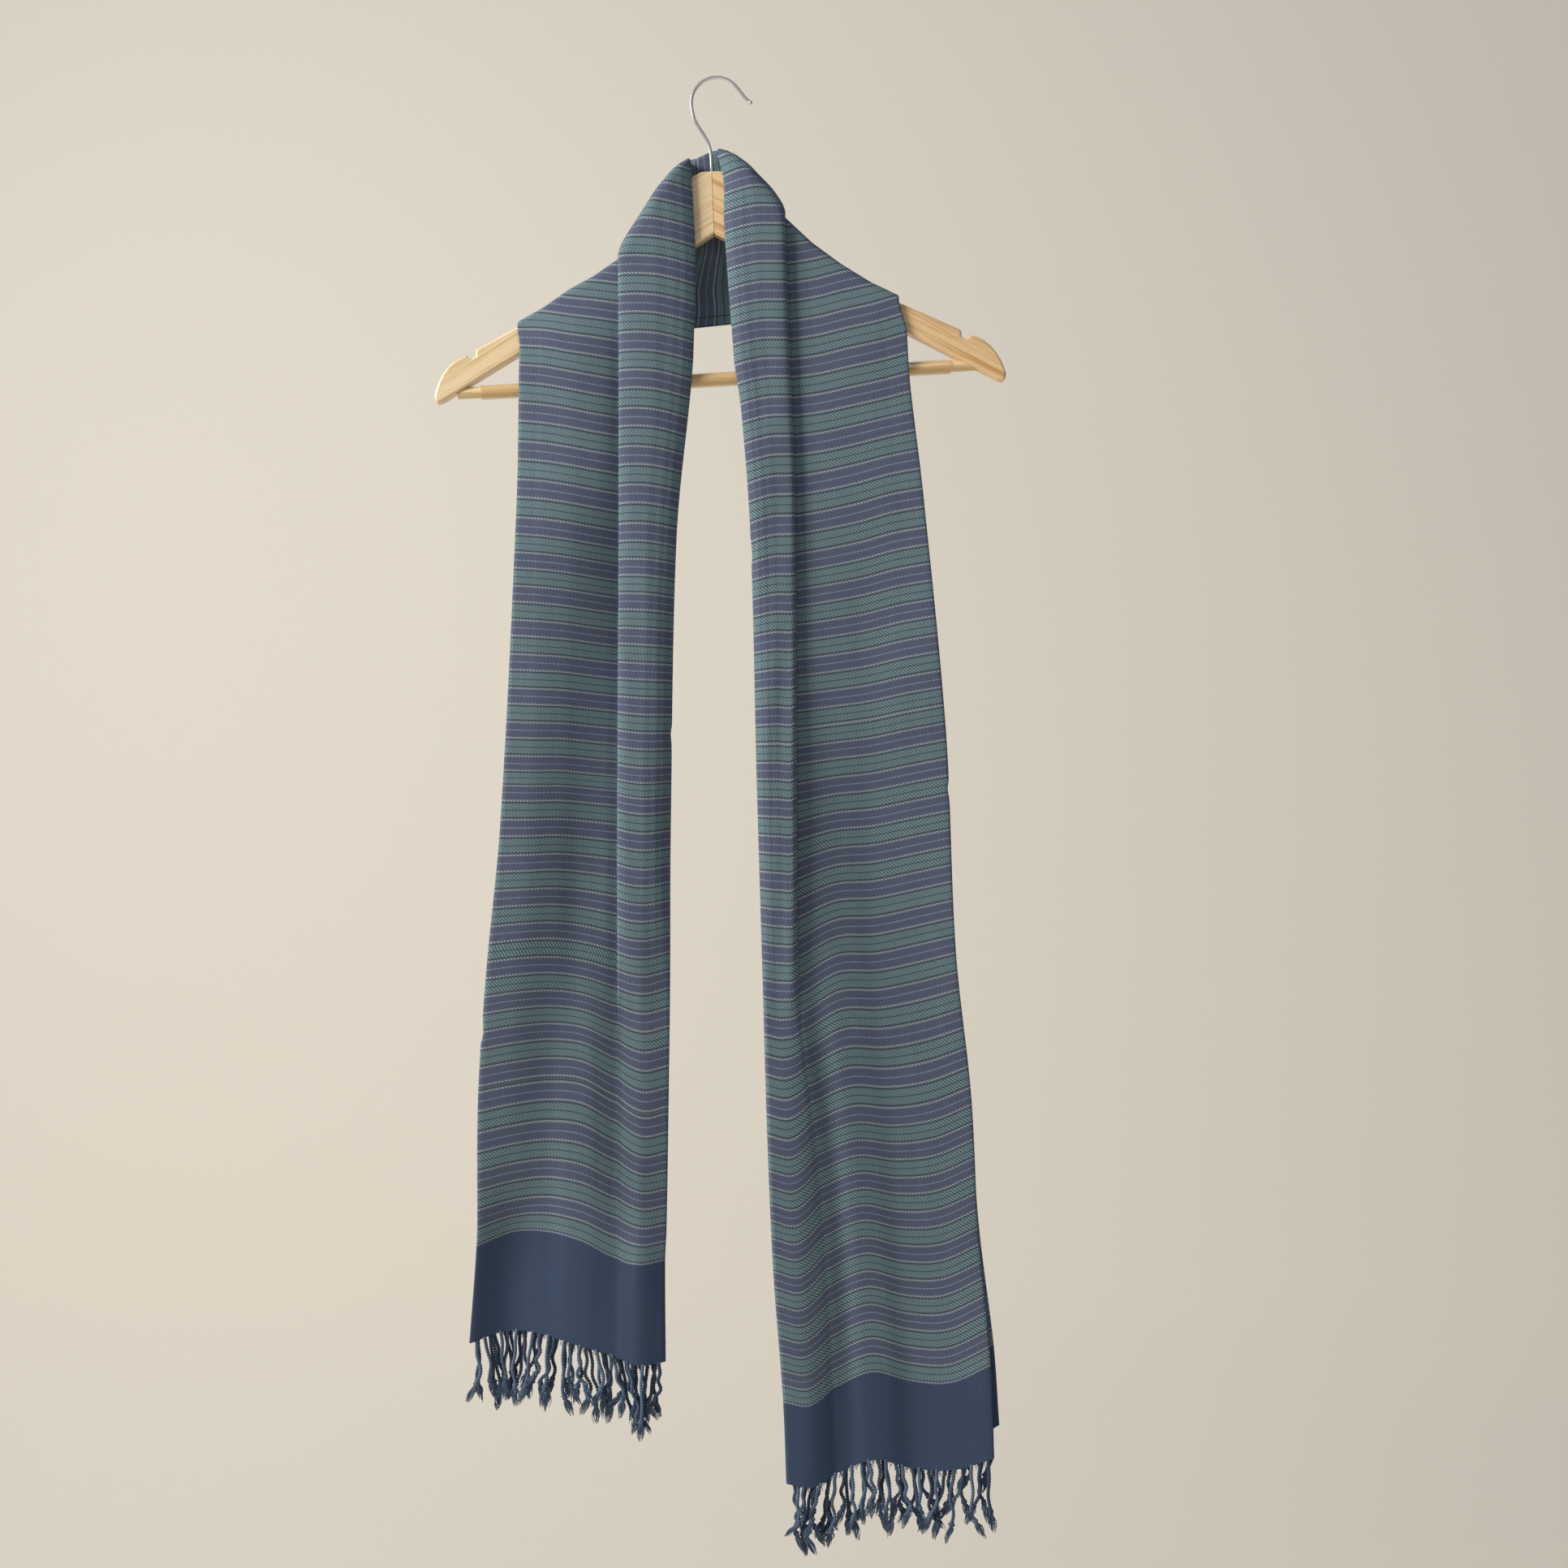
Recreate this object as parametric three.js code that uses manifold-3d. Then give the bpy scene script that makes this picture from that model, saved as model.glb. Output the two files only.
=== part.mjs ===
// A woven stole, folded lengthwise in four and hung over a wooden hanger.
// It lies round the back of the hanger's neck, passes over both arms and hangs down in front of them.
// Millimetres, +Z up, +X to the viewer's right, the front faces -Y.
// The origin is the inner top of the hook's curl, where a rail or a nail carries everything.

import * as THREE from 'three';
import { mergeVertices } from 'three/addons/utils/BufferGeometryUtils.js';
import Module from 'manifold-3d';

const wasm = await Module();
wasm.setup();

// ---------------------------------------------------------------- driving dimensions: the cloth

const CLOTH_WALL = 1.0;
const LAYER_PITCH = 1.4; // from one folded layer's middle to the next
const HEM_SPREAD = 0.6; // the layers part by this share of their pitch at the hem
const FIRST_LAYER = 0.9; // middle of the innermost layer above the wood
const TURN_DEPTH = 6.4; // half of the arm's thickness and a little air
const TURN_SQUARENESS = 0.7; // exponent of the curve over an arm: 1 is an ellipse, less is squarer
const SEAM_GAP = 0.35;
const FOLD_ROUND = 0.6; // how far a fold's bend stands out from its layers
const WRAP_ROUND = 1.8; // the same for the inner fold that wraps the whole stack
const PANEL_WIDTH = 53; // inner edge to pleat edge at the shoulder
const OUTER_WIDTH = 77; // pleat edge to outer edge at the shoulder
const FALL_STEPS = 10;

// Places across the folded strip: 0 is the inner edge, 1 the pleat edge, 2 the outer edge.
const ACROSS = [0, 0.5, 1, 1.25, 1.5, 1.75, 2];
const HIDDEN_PLACES = [0.25, 0.5, 0.75, 1, 1.33, 1.67]; // where the plain layers have their stations
const INSIDE_FOLD = 0.09; // place across of the fold that lies inside the stack
const FREE_EDGES = { inside: 1.95, behind: 1.98 }; // places across of the cut's two hemmed edges
const PLEAT_LEVELS = { front: 3, tuck: 4, panel: 5 }; // levels in the stack round the knife pleat
const PLEAT_CLOSES = 6; // a lap of this much or more is a full knife pleat
const PLEAT_OPEN_WIDTH = 2; // the least width of the open pleat's bend

// One row for each weft line of a fall: down is the cloth's length below the seam, then the places of
// the inner edge, the pleat edge and the outer edge, how far the pleat laps (less than 0 is open), and
// how much of the hem's waves is there.
// The z values are the line's height at the places of ACROSS; under is its height below the pleat.
const LEFT_FALL = {
  side: -1,
  backPeek: 0,
  backLift: 0,
  hemDepth: [0, 4, -3, 3, 0, -4, 2],
  rows: [
    {
      down: 0, inner: -21, pleat: -76, outer: -153.5, lap: 22, wave: 0,
      under: -219.5, z: [-220, -214.5, -214, -217, -214.5, -211, -209.5],
    },
    {
      down: 25, inner: -23, pleat: -76, outer: -154, lap: 22, wave: 0,
      under: -245, z: [-244.5, -239, -238.5, -242.5, -239, -235.5, -233.5],
    },
    {
      down: 142, inner: -34, pleat: -76, outer: -155.5, lap: 20, wave: 0.05,
      under: -361.5, z: [-359.5, -356.5, -356.5, -359, -356, -353.5, -352],
    },
    {
      down: 370, inner: -38.5, pleat: -77, outer: -166.5, lap: 13, wave: 0.2,
      under: -585, z: [-590, -592, -588.5, -582.5, -580.5, -581, -581],
    },
    {
      down: 482, inner: -39, pleat: -77, outer: -177, lap: 3, wave: 0.45,
      under: -701.5, z: [-702, -706, -701.5, -693.5, -689.5, -690, -693],
    },
    {
      down: 582, inner: -40.5, pleat: -77.5, outer: -183.5, lap: -8, wave: 0.7,
      under: -802, z: [-809, -813.5, -802, -787, -784, -786.5, -791.5],
    },
    {
      down: 673, inner: -42, pleat: -78, outer: -185, lap: -12, wave: 0.9,
      under: -893, z: [-895, -900, -893, -881, -876, -878, -885],
    },
    {
      down: 696, inner: -43, pleat: -78, outer: -186, lap: -12, wave: 0.95,
      under: -918.5, z: [-917, -923, -918.5, -904.5, -898, -898, -907.5],
    },
    {
      down: 773, inner: -42.5, pleat: -80, outer: -192, lap: -12, wave: 1,
      under: -993.5, z: [-990.5, -1000, -993.5, -986, -978, -976, -983.5],
    },
  ],
};

const RIGHT_FALL = {
  side: 1,
  backPeek: 7,
  backLift: 22,
  hemDepth: [0, 3, -4, 4, -3, 0, 3],
  rows: [
    {
      down: 0, inner: 13, pleat: 55, outer: 146.5, lap: 18, wave: 0,
      under: -217.5, z: [-222.5, -218, -217.5, -214, -208.5, -203.5, -197],
    },
    {
      down: 41, inner: 19.5, pleat: 57, outer: 149, lap: 18, wave: 0,
      under: -257.5, z: [-263, -258.5, -257.5, -254.5, -249.5, -244.5, -238.5],
    },
    {
      down: 131, inner: 27, pleat: 59.5, outer: 159.5, lap: 16, wave: 0.05,
      under: -349, z: [-354.5, -350, -349, -344.5, -339, -332, -327.5],
    },
    {
      down: 318, inner: 32, pleat: 60, outer: 177, lap: 13, wave: 0.15,
      under: -532, z: [-543.5, -543.5, -542.5, -527.5, -524, -518, -512.5],
    },
    {
      down: 488, inner: 37, pleat: 62.5, outer: 184.5, lap: 2, wave: 0.4,
      under: -708, z: [-713, -715, -711.5, -694.5, -693.5, -687.5, -680],
    },
    {
      down: 601, inner: 40.5, pleat: 74.5, outer: 196.5, lap: -8, wave: 0.65,
      under: -817.5, z: [-828, -831, -817.5, -806.5, -809, -805, -793],
    },
    {
      down: 701, inner: 45, pleat: 83.5, outer: 202, lap: -12, wave: 0.85,
      under: -914.5, z: [-927.5, -931, -914.5, -903, -910, -909.5, -896.5],
    },
    {
      down: 804, inner: 52.5, pleat: 89, outer: 211.5, lap: -12, wave: 0.95,
      under: -1017.5, z: [-1027, -1029.5, -1017.5, -1005.5, -1014, -1015, -1000.5],
    },
    {
      down: 871, inner: 55, pleat: 91.5, outer: 214, lap: -12, wave: 1,
      under: -1084, z: [-1090.5, -1093, -1084, -1074, -1082.5, -1083, -1073],
    },
  ],
};

// The line along which the cloth lies on each arm: x and the height of its underside there.
const RIDGE_ACROSS = [0, 0.2, 0.4, 0.6, 0.8, 1, 1.25, 1.5, 1.75, 2];
const LEFT_RIDGE = {
  x: [-23.5, -34, -45, -55.5, -66, -76.5, -96.5, -116, -135.5, -155.5],
  rest: [-65.5, -79, -94.5, -111.5, -128, -144, -158, -168.5, -182.3, -193.5],
};
const RIGHT_RIDGE = {
  x: [-2, 9, 19.5, 30, 40.5, 51.5, 73.5, 95.5, 118.5, 140.5],
  rest: [-59.5, -68, -77.5, -88.5, -98.5, -112, -132.5, -148.5, -162.6, -173],
};
// How far the turn's springing lies below the underside, and how steep the layers stand, by place across.
const TURN_ACROSS = [0, 0.6, 2];
const TURN_RISE = [1, 4, 4];
const TURN_STEEP = [1, 1.3, 1.15];
// How the band behind the hanger rises at its top edge and sags at its lower edge.
const BACK_LIFT = [11, 2, -4];
const FRONT_BULGE = 3; // the inner edge bows away from the hanger's block below the shoulder
const FRONT_STEPS = 3;
const TURN_STEPS = 5;
const BACK_STEPS = 4;

// ---------------------------------------------------------------- driving dimensions: the fringe

const FRINGE_ROWS = 4; // one row of twisted ends for each layer
const STRANDS_PER_ROW = 12;
const FRINGE_STRIP = 3;
const STRAND_ROOT_DEPTH = 0.8; // how far a strand grows into the strip
const STRAND_SIDES = 3;
const STRAND_RADIUS = 1.0;
const STRAND_ROOT_RADIUS = 0.4;
const TUFT_RADIUS = 1.5;
const TUFT_TIP_RADIUS = 0.6;
const STRAND_LENGTH = { shortest: 40, longest: 60 };
const STRAND_SWAY = { reach: 5, wave: 17 };

// ---------------------------------------------------------------- driving dimensions: the hanger

const HANGER_TILT = THREE.MathUtils.degToRad(2.3); // it hangs with its right arm higher
const HANGER_AXIS = -7.9; // the hanger's middle beside the hook's inner top, before it tilts
const ARM_THICKNESS = 12;
const ARM_ROUNDING = 1.6;
const MITRE_GAP = 0.3;
const ARM_NECK_TOP = -73;
const ARM_APEX = -121.9;
// The arm's top edge, as distance from the hanger's middle and height.
const ARM_TOP = [
  [8, -73.3], [16, -77], [26, -86], [40, -101], [54, -118.5], [66, -133.5], [78, -147.5],
  [95, -158.5], [115, -168.5], [135, -178], [155, -187.7], [188, -203.9],
];
const NOTCH = {
  start: [189.3, -205.5],
  bottom: [[189.3, -209.6], [192.2, -211.2], [195, -210.3]],
  end: [197, -208.7],
};
const ARM_TIP = [
  [204, -211.4], [211.5, -217.4], [217.5, -225.5], [221.4, -234.5], [222.9, -241], [220.8, -245.2],
];
const ARM_UNDERSIDE_END = [216.2, -243.8];
const BAR_HEIGHT = -234.2;
const BAR_LEAN = THREE.MathUtils.degToRad(0.87);
const BAR_RADIUS = 4.5;
const BAR_HALF_LENGTH = 205;
const BAR_SOCKET_CLEARANCE = 0.3;
const SLEEVE = { inner: 5.15, outer: 5.8, left: -187, right: 180, sag: 0.3 };
const WIRE_RADIUS = 1.3;
const SHANK_TOP = -60.3;
const SHANK_BOTTOM = -95;
const SHANK_CLEARANCE = 0.35;
const CURL = { x: -2, z: -18.5, radius: 19.85, fromDegrees: 192, toDegrees: 34, points: 12 };
const HOOK_NECK = [[-9.3, -51.1], [-12.4, -44.2], [-16.4, -37.6], [-19.9, -30.6]];
const HOOK_TIP = [[18.2, -12.5], [20.6, -16], [24.4, -19.2]];
const TIP_BALL_RADIUS = 1.7;
const WIRE_SIDES = 8;
const WIRE_STEPS = 44;

// ---------------------------------------------------------------- materials

const wovenCloth = new THREE.MeshStandardMaterial({ color: 0x55707a, roughness: 0.9, metalness: 0 });
const fringeYarn = new THREE.MeshStandardMaterial({ color: 0x3a4a62, roughness: 0.95, metalness: 0 });
const paleWood = new THREE.MeshStandardMaterial({ color: 0xe3c492, roughness: 0.5, metalness: 0 });
const warmWood = new THREE.MeshStandardMaterial({ color: 0xddb27a, roughness: 0.5, metalness: 0 });
const clearSleeve = new THREE.MeshStandardMaterial({ color: 0xf1ece2, roughness: 0.2, metalness: 0 });
const steelWire = new THREE.MeshStandardMaterial({ color: 0xc9c9c7, roughness: 0.2, metalness: 1 });

// ---------------------------------------------------------------- small helpers

const lerp = THREE.MathUtils.lerp;
const clamp = THREE.MathUtils.clamp;

// A smooth curve through table points, straight beyond its ends: cubic Hermite pieces whose slope at
// each point is that of the line between its two neighbours.
function smooth(xs, ys, x) {
  const last = xs.length - 1;
  const slope = (i) => {
    const a = Math.max(i - 1, 0);
    const b = Math.min(i + 1, last);
    return (ys[b] - ys[a]) / (xs[b] - xs[a]);
  };
  if (x <= xs[0]) return ys[0] + slope(0) * (x - xs[0]);
  if (x >= xs[last]) return ys[last] + slope(last) * (x - xs[last]);
  let i = 0;
  while (x > xs[i + 1]) i += 1;
  const width = xs[i + 1] - xs[i];
  const t = (x - xs[i]) / width;
  const rise = t * t * (3 - 2 * t);
  const leave = t * (1 - t) * (1 - t) * width * slope(i);
  const arrive = -t * t * (1 - t) * width * slope(i + 1);
  return lerp(ys[i], ys[i + 1], rise) + leave + arrive;
}

// Straight lines through table points, also beyond its ends.
function linear(xs, ys, x) {
  let i = 0;
  while (i < xs.length - 2 && x > xs[i + 1]) i += 1;
  return lerp(ys[i], ys[i + 1], (x - xs[i]) / (xs[i + 1] - xs[i]));
}

// The same scattered number from 0 to 1 for the same counter, each run.
function scatter(counter) {
  const wave = Math.sin(counter * 12.9898 + 4.1) * 43758.5453;
  return wave - Math.floor(wave);
}

function layerHeight(level, spread) {
  return FIRST_LAYER + level * LAYER_PITCH * (1 + spread);
}

// ---------------------------------------------------------------- the folded strip's cross-section

// The cut is folded in half twice, so its four layers are one continuous wall:
// free edge - layer 1 - inside fold - layer 2 - outer fold - layer 3, the front, with its knife pleat -
// inner edge, which wraps the whole stack - layer 0 - the other free edge.
// Each station has a place across, a level in the stack, and how much it follows the weft line
// below the pleat.
function foldStations(lap, panelWidth, outerWidth, peek) {
  const folded = clamp(lap / PLEAT_CLOSES, 0, 1);
  const lapShare = Math.max(lap, 0) / panelWidth;
  const openShare = Math.max(-lap, PLEAT_OPEN_WIDTH) / outerWidth;
  const bend = FOLD_ROUND / panelWidth;
  const wrap = WRAP_ROUND / panelWidth;
  const tuckEnd = 1 - lapShare;
  const midTuck = 1 - 0.6 * lapShare;
  const { front, tuck, panel } = PLEAT_LEVELS;
  const across = (whenFolded, whenOpen) => lerp(1 + openShare * whenOpen, whenFolded, folded);
  const station = (s, level, below = 0) => ({ s, level, below });
  const onLayer = (layer, stations) => stations.map((p) => ({ ...p, layer }));
  const plainLayer = (level) => HIDDEN_PLACES.map((s) => station(s, level));
  return [
    ...onLayer(1, [station(FREE_EDGES.inside, 1), ...plainLayer(1).reverse(), station(INSIDE_FOLD, 1)]),
    station(INSIDE_FOLD - bend, 1.5),
    ...onLayer(2, [station(INSIDE_FOLD, 2), ...plainLayer(2), station(1.985, 2)]),
    station(2, 2.5),
    ...onLayer(3, [
      station(1.985, front, 1),
      station(1.67, front, 1),
      station(1.33, front, 1),
      station(across(1, 1.6), front, 1),
      station(across(midTuck, 1.3), front, 1),
      station(across(tuckEnd, 1), front, 1),
      station(across(tuckEnd - bend, 0.8), front + 0.5, 1),
      station(across(tuckEnd, 0.6), tuck - 0.07, 1),
      station(across(midTuck, 0.5), tuck, 0.4),
      station(across(1, 0.4), tuck + 0.07),
      station(across(1 + bend, 0.2), tuck + 0.5),
      station(1, panel),
      station(0.78, panel),
      station(0.54, panel),
      station(0.32, front),
      station(0.15, front),
      station(0, front),
    ]),
    station(-0.8 * wrap, 2.4),
    station(-wrap, 1.5),
    station(-0.8 * wrap, 0.6),
    ...onLayer(0, [station(0, 0), ...plainLayer(0), station(FREE_EDGES.behind + peek / outerWidth, 0)]),
  ];
}

// The wall's two faces: each station moved half a wall along the normal of its bend.
function foldWall(stations, panelWidth, outerWidth, spread) {
  const widthAt = (s) => (s < 1 ? panelWidth : outerWidth);
  const flat = stations.map((p) => new THREE.Vector2((p.s - 1) * widthAt(p.s), layerHeight(p.level, spread)));
  const face = (half) => stations.map((p, i) => {
    const before = flat[Math.max(i - 1, 0)];
    const after = flat[Math.min(i + 1, flat.length - 1)];
    const inward = flat[i].clone().sub(before).normalize();
    const onward = after.clone().sub(flat[i]).normalize();
    const along = inward.add(onward).normalize();
    const mitre = half / Math.max(Math.abs(along.dot(onward.lengthSq() ? onward : along)), 0.6);
    const x = flat[i].x - along.y * mitre;
    return { s: 1 + x / (x < 0 ? panelWidth : outerWidth), h: flat[i].y + along.x * mitre, below: p.below };
  });
  return { left: face(CLOTH_WALL / 2), right: face(-CLOTH_WALL / 2) };
}

// ---------------------------------------------------------------- the falls

function fallRow(fall, down) {
  const at = (name) => smooth(fall.rows.map((r) => r.down), fall.rows.map((r) => r[name]), down);
  const z = ACROSS.map((_, i) => smooth(fall.rows.map((r) => r.down), fall.rows.map((r) => r.z[i]), down));
  const hem = fall.rows.at(-1).down;
  return {
    fall,
    z,
    inner: at('inner'),
    pleat: at('pleat'),
    outer: at('outer'),
    under: at('under'),
    lap: at('lap'),
    wave: clamp(at('wave'), 0, 1),
    share: clamp(down / hem, 0, 1),
  };
}

function fallX(row, s) {
  return s < 1 ? lerp(row.inner, row.pleat, s) : lerp(row.pleat, row.outer, s - 1);
}

function fallZ(row, s, below) {
  const fade = clamp(1 - (s - 1) / 0.25, 0, 1);
  return smooth(ACROSS, row.z, s) + below * fade * (row.under - row.z[2]);
}

function fallPoint(row, p) {
  const depth = row.wave * smooth(ACROSS, row.fall.hemDepth, p.s);
  const isBack = p.h < layerHeight(0.5, 0);
  const corner = isBack ? clamp((p.s - 1.4) / 0.6, 0, 1.1) : 0;
  const lift = row.fall.backLift * corner * row.share ** 6;
  return new THREE.Vector3(fallX(row, p.s), -TURN_DEPTH - p.h - depth, fallZ(row, p.s, p.below) + lift);
}

function fallWall(row) {
  const panelWidth = Math.abs(row.pleat - row.inner);
  const outerWidth = Math.abs(row.outer - row.pleat);
  const spread = HEM_SPREAD * row.share ** 2;
  const stations = foldStations(row.lap, panelWidth, outerWidth, row.fall.backPeek * row.share ** 4);
  return { ...foldWall(stations, panelWidth, outerWidth, spread), stations };
}

function placeWall(wall, place) {
  return { left: wall.left.map(place), right: wall.right.map(place), stations: wall.stations };
}

function fallRows(fall) {
  const hem = fall.rows.at(-1).down;
  const rows = [];
  for (let i = 0; i <= FALL_STEPS; i += 1) {
    const row = fallRow(fall, (hem * i) / FALL_STEPS);
    rows.push(placeWall(fallWall(row), (p) => fallPoint(row, p)));
  }
  return rows;
}

// ---------------------------------------------------------------- the neck and shoulders

function neckPoint(stage, p) {
  const ridge = stage.fall.side < 0 ? LEFT_RIDGE : RIGHT_RIDGE;
  const place = clamp(p.s, 0, 2);
  const rise = smooth(TURN_ACROSS, TURN_RISE, place);
  const springing = (table) => linear(RIDGE_ACROSS, table.rest, p.s) - rise;
  const depth = TURN_DEPTH + p.h;
  if (stage.kind === 'back') {
    const share = stage.share;
    const ease = share * share * (3 - 2 * share);
    const x = lerp(linear(RIDGE_ACROSS, LEFT_RIDGE.x, p.s), linear(RIDGE_ACROSS, RIGHT_RIDGE.x, p.s), share);
    const bow = smooth([0, 1, 2], BACK_LIFT, p.s) * Math.sin(Math.PI * share);
    return new THREE.Vector3(x, depth, lerp(springing(LEFT_RIDGE), springing(RIGHT_RIDGE), ease) + bow);
  }
  const ridgeX = linear(RIDGE_ACROSS, ridge.x, p.s);
  if (stage.kind === 'turn') {
    const height = rise + p.h * smooth(TURN_ACROSS, TURN_STEEP, place);
    const across = Math.cos(stage.angle);
    const y = -depth * Math.sign(across) * Math.abs(across) ** TURN_SQUARENESS;
    const z = springing(ridge) + height * Math.sin(stage.angle) ** TURN_SQUARENESS;
    return new THREE.Vector3(ridgeX, y, z);
  }
  const row = stage.row;
  const bulge = FRONT_BULGE * Math.sin(Math.PI * stage.share) * clamp(1 - p.s, 0, 1);
  const x = lerp(fallX(row, p.s), ridgeX, stage.share) - stage.fall.side * bulge;
  const z = lerp(fallZ(row, p.s, p.below) + SEAM_GAP, springing(ridge), stage.share);
  return new THREE.Vector3(x, -depth, z);
}

// The stages of one shoulder: up the front from the seam, then over the arm.
function shoulderStages(fall) {
  const row = fallRow(fall, 0);
  const stages = [];
  for (let i = 0; i < FRONT_STEPS; i += 1) stages.push({ kind: 'front', fall, row, share: i / FRONT_STEPS });
  for (let i = 0; i <= TURN_STEPS; i += 1) stages.push({ kind: 'turn', fall, angle: (Math.PI * i) / TURN_STEPS });
  return stages;
}

// The width of a stage between two edges: the fall's own at the seam, then the shoulder's.
function stageWidth(stage, shoulderWidth, from, to) {
  if (stage.kind !== 'front') return shoulderWidth;
  const seamWidth = Math.abs(stage.fall.rows[0][to] - stage.fall.rows[0][from]);
  return lerp(seamWidth, shoulderWidth, stage.share);
}

function neckRows() {
  const backStages = [];
  for (let i = 1; i < BACK_STEPS; i += 1) backStages.push({ kind: 'back', fall: LEFT_FALL, share: i / BACK_STEPS });
  const stages = [...shoulderStages(LEFT_FALL), ...backStages, ...shoulderStages(RIGHT_FALL).reverse()];
  return stages.map((stage, i) => {
    const lap = lerp(LEFT_FALL.rows[0].lap, RIGHT_FALL.rows[0].lap, i / (stages.length - 1));
    const panelWidth = stageWidth(stage, PANEL_WIDTH, 'inner', 'pleat');
    const outerWidth = stageWidth(stage, OUTER_WIDTH, 'pleat', 'outer');
    const stations = foldStations(lap, panelWidth, outerWidth, 0);
    const wall = { ...foldWall(stations, panelWidth, outerWidth, 0), stations };
    return placeWall(wall, (p) => neckPoint(stage, p));
  });
}

// ---------------------------------------------------------------- from rows to a closed solid

function outwardGeometry(points, triangles) {
  const volume = triangles.reduce((sum, [a, b, c]) => {
    const cross = new THREE.Vector3().crossVectors(points[b], points[c]);
    return sum + points[a].dot(cross);
  }, 0);
  const facing = volume < 0 ? triangles.map(([a, b, c]) => [a, c, b]) : triangles;
  const geometry = new THREE.BufferGeometry();
  geometry.setAttribute('position', new THREE.Float32BufferAttribute(points.flatMap((p) => p.toArray()), 3));
  geometry.setIndex(facing.flat());
  return geometry;
}

// A wall that runs through the rows. Each cell is split along the diagonal from its lower place
// across to its higher one, so that stacked layers are split alike and stay clear of each other.
function wallGeometry(rows) {
  const stationCount = rows[0].left.length;
  const ringCount = 2 * stationCount;
  const points = rows.flatMap((row) => [...row.left, ...[...row.right].reverse()]);
  const ringPlace = rows[0].stations.map((p) => p.s);
  const places = [...ringPlace, ...[...ringPlace].reverse()];
  const triangles = [];
  for (let r = 0; r < rows.length - 1; r += 1) {
    for (let i = 0; i < ringCount; i += 1) {
      const j = (i + 1) % ringCount;
      const a = r * ringCount + i;
      const b = r * ringCount + j;
      const c = a + ringCount;
      const d = b + ringCount;
      if (places[i] <= places[j]) triangles.push([a, b, d], [a, d, c]);
      else triangles.push([a, b, c], [b, d, c]);
    }
  }
  const cap = (start, flip) => {
    for (let i = 0; i < stationCount - 1; i += 1) {
      const a = start + i;
      const b = start + i + 1;
      const c = start + ringCount - 2 - i;
      const d = start + ringCount - 1 - i;
      if (flip) triangles.push([a, b, c], [a, c, d]);
      else triangles.push([a, c, b], [a, d, c]);
    }
  };
  cap(0, false);
  cap((rows.length - 1) * ringCount, true);
  return outwardGeometry(points, triangles);
}

// ---------------------------------------------------------------- joining and cutting

function toSolid(geometry) {
  const plain = geometry.clone();
  plain.deleteAttribute('normal');
  plain.deleteAttribute('uv');
  const merged = mergeVertices(plain, 1e-4);
  return new wasm.Manifold(new wasm.Mesh({
    numProp: 3,
    vertProperties: new Float32Array(merged.getAttribute('position').array),
    triVerts: new Uint32Array(merged.index.array),
  }));
}

function toGeometry(solid) {
  const mesh = solid.getMesh();
  const geometry = new THREE.BufferGeometry();
  geometry.setAttribute('position', new THREE.BufferAttribute(new Float32Array(mesh.vertProperties), 3));
  geometry.setIndex(new THREE.BufferAttribute(new Uint32Array(mesh.triVerts), 1));
  return geometry;
}

function turnedCylinder(radius, length, sides, centre, axis) {
  const geometry = new THREE.CylinderGeometry(radius, radius, length, sides);
  const turn = new THREE.Quaternion().setFromUnitVectors(new THREE.Vector3(0, 1, 0), axis.clone().normalize());
  geometry.applyQuaternion(turn);
  geometry.translate(centre.x, centre.y, centre.z);
  return geometry;
}

// ---------------------------------------------------------------- the fringe

// The middles of one layer's wall, from the inner edge outwards.
function layerMiddles(wall, layer) {
  const middles = [];
  wall.stations.forEach((station, i) => {
    if (station.layer === layer) middles.push(wall.left[i].clone().add(wall.right[i]).multiplyScalar(0.5));
  });
  const runsInwards = layer % 2 === 1;
  return runsInwards ? middles.reverse() : middles;
}

// The place at a share of the way along a line of points.
function alongLine(points, share) {
  const lengths = points.slice(1).map((p, i) => p.distanceTo(points[i]));
  let left = share * lengths.reduce((sum, length) => sum + length, 0);
  let i = 0;
  while (i < lengths.length - 1 && left > lengths[i]) {
    left -= lengths[i];
    i += 1;
  }
  return points[i].clone().lerp(points[i + 1], left / lengths[i]);
}

// A strand is a thin prism along four points, thickest at the tuft below its knot.
function strandGeometry(middles, radii, turn) {
  const points = [];
  middles.forEach((middle, i) => {
    for (let k = 0; k < STRAND_SIDES; k += 1) {
      const angle = turn + (2 * Math.PI * k) / STRAND_SIDES;
      const offset = new THREE.Vector3(Math.cos(angle), Math.sin(angle), 0).multiplyScalar(radii[i]);
      points.push(middle.clone().add(offset));
    }
  });
  const triangles = [];
  for (let i = 0; i < middles.length - 1; i += 1) {
    for (let k = 0; k < STRAND_SIDES; k += 1) {
      const a = i * STRAND_SIDES + k;
      const b = i * STRAND_SIDES + ((k + 1) % STRAND_SIDES);
      triangles.push([a, b, b + STRAND_SIDES], [a, b + STRAND_SIDES, a + STRAND_SIDES]);
    }
  }
  const tip = (middles.length - 1) * STRAND_SIDES;
  triangles.push([0, 2, 1], [tip, tip + 1, tip + 2]);
  return outwardGeometry(points, triangles);
}

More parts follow.
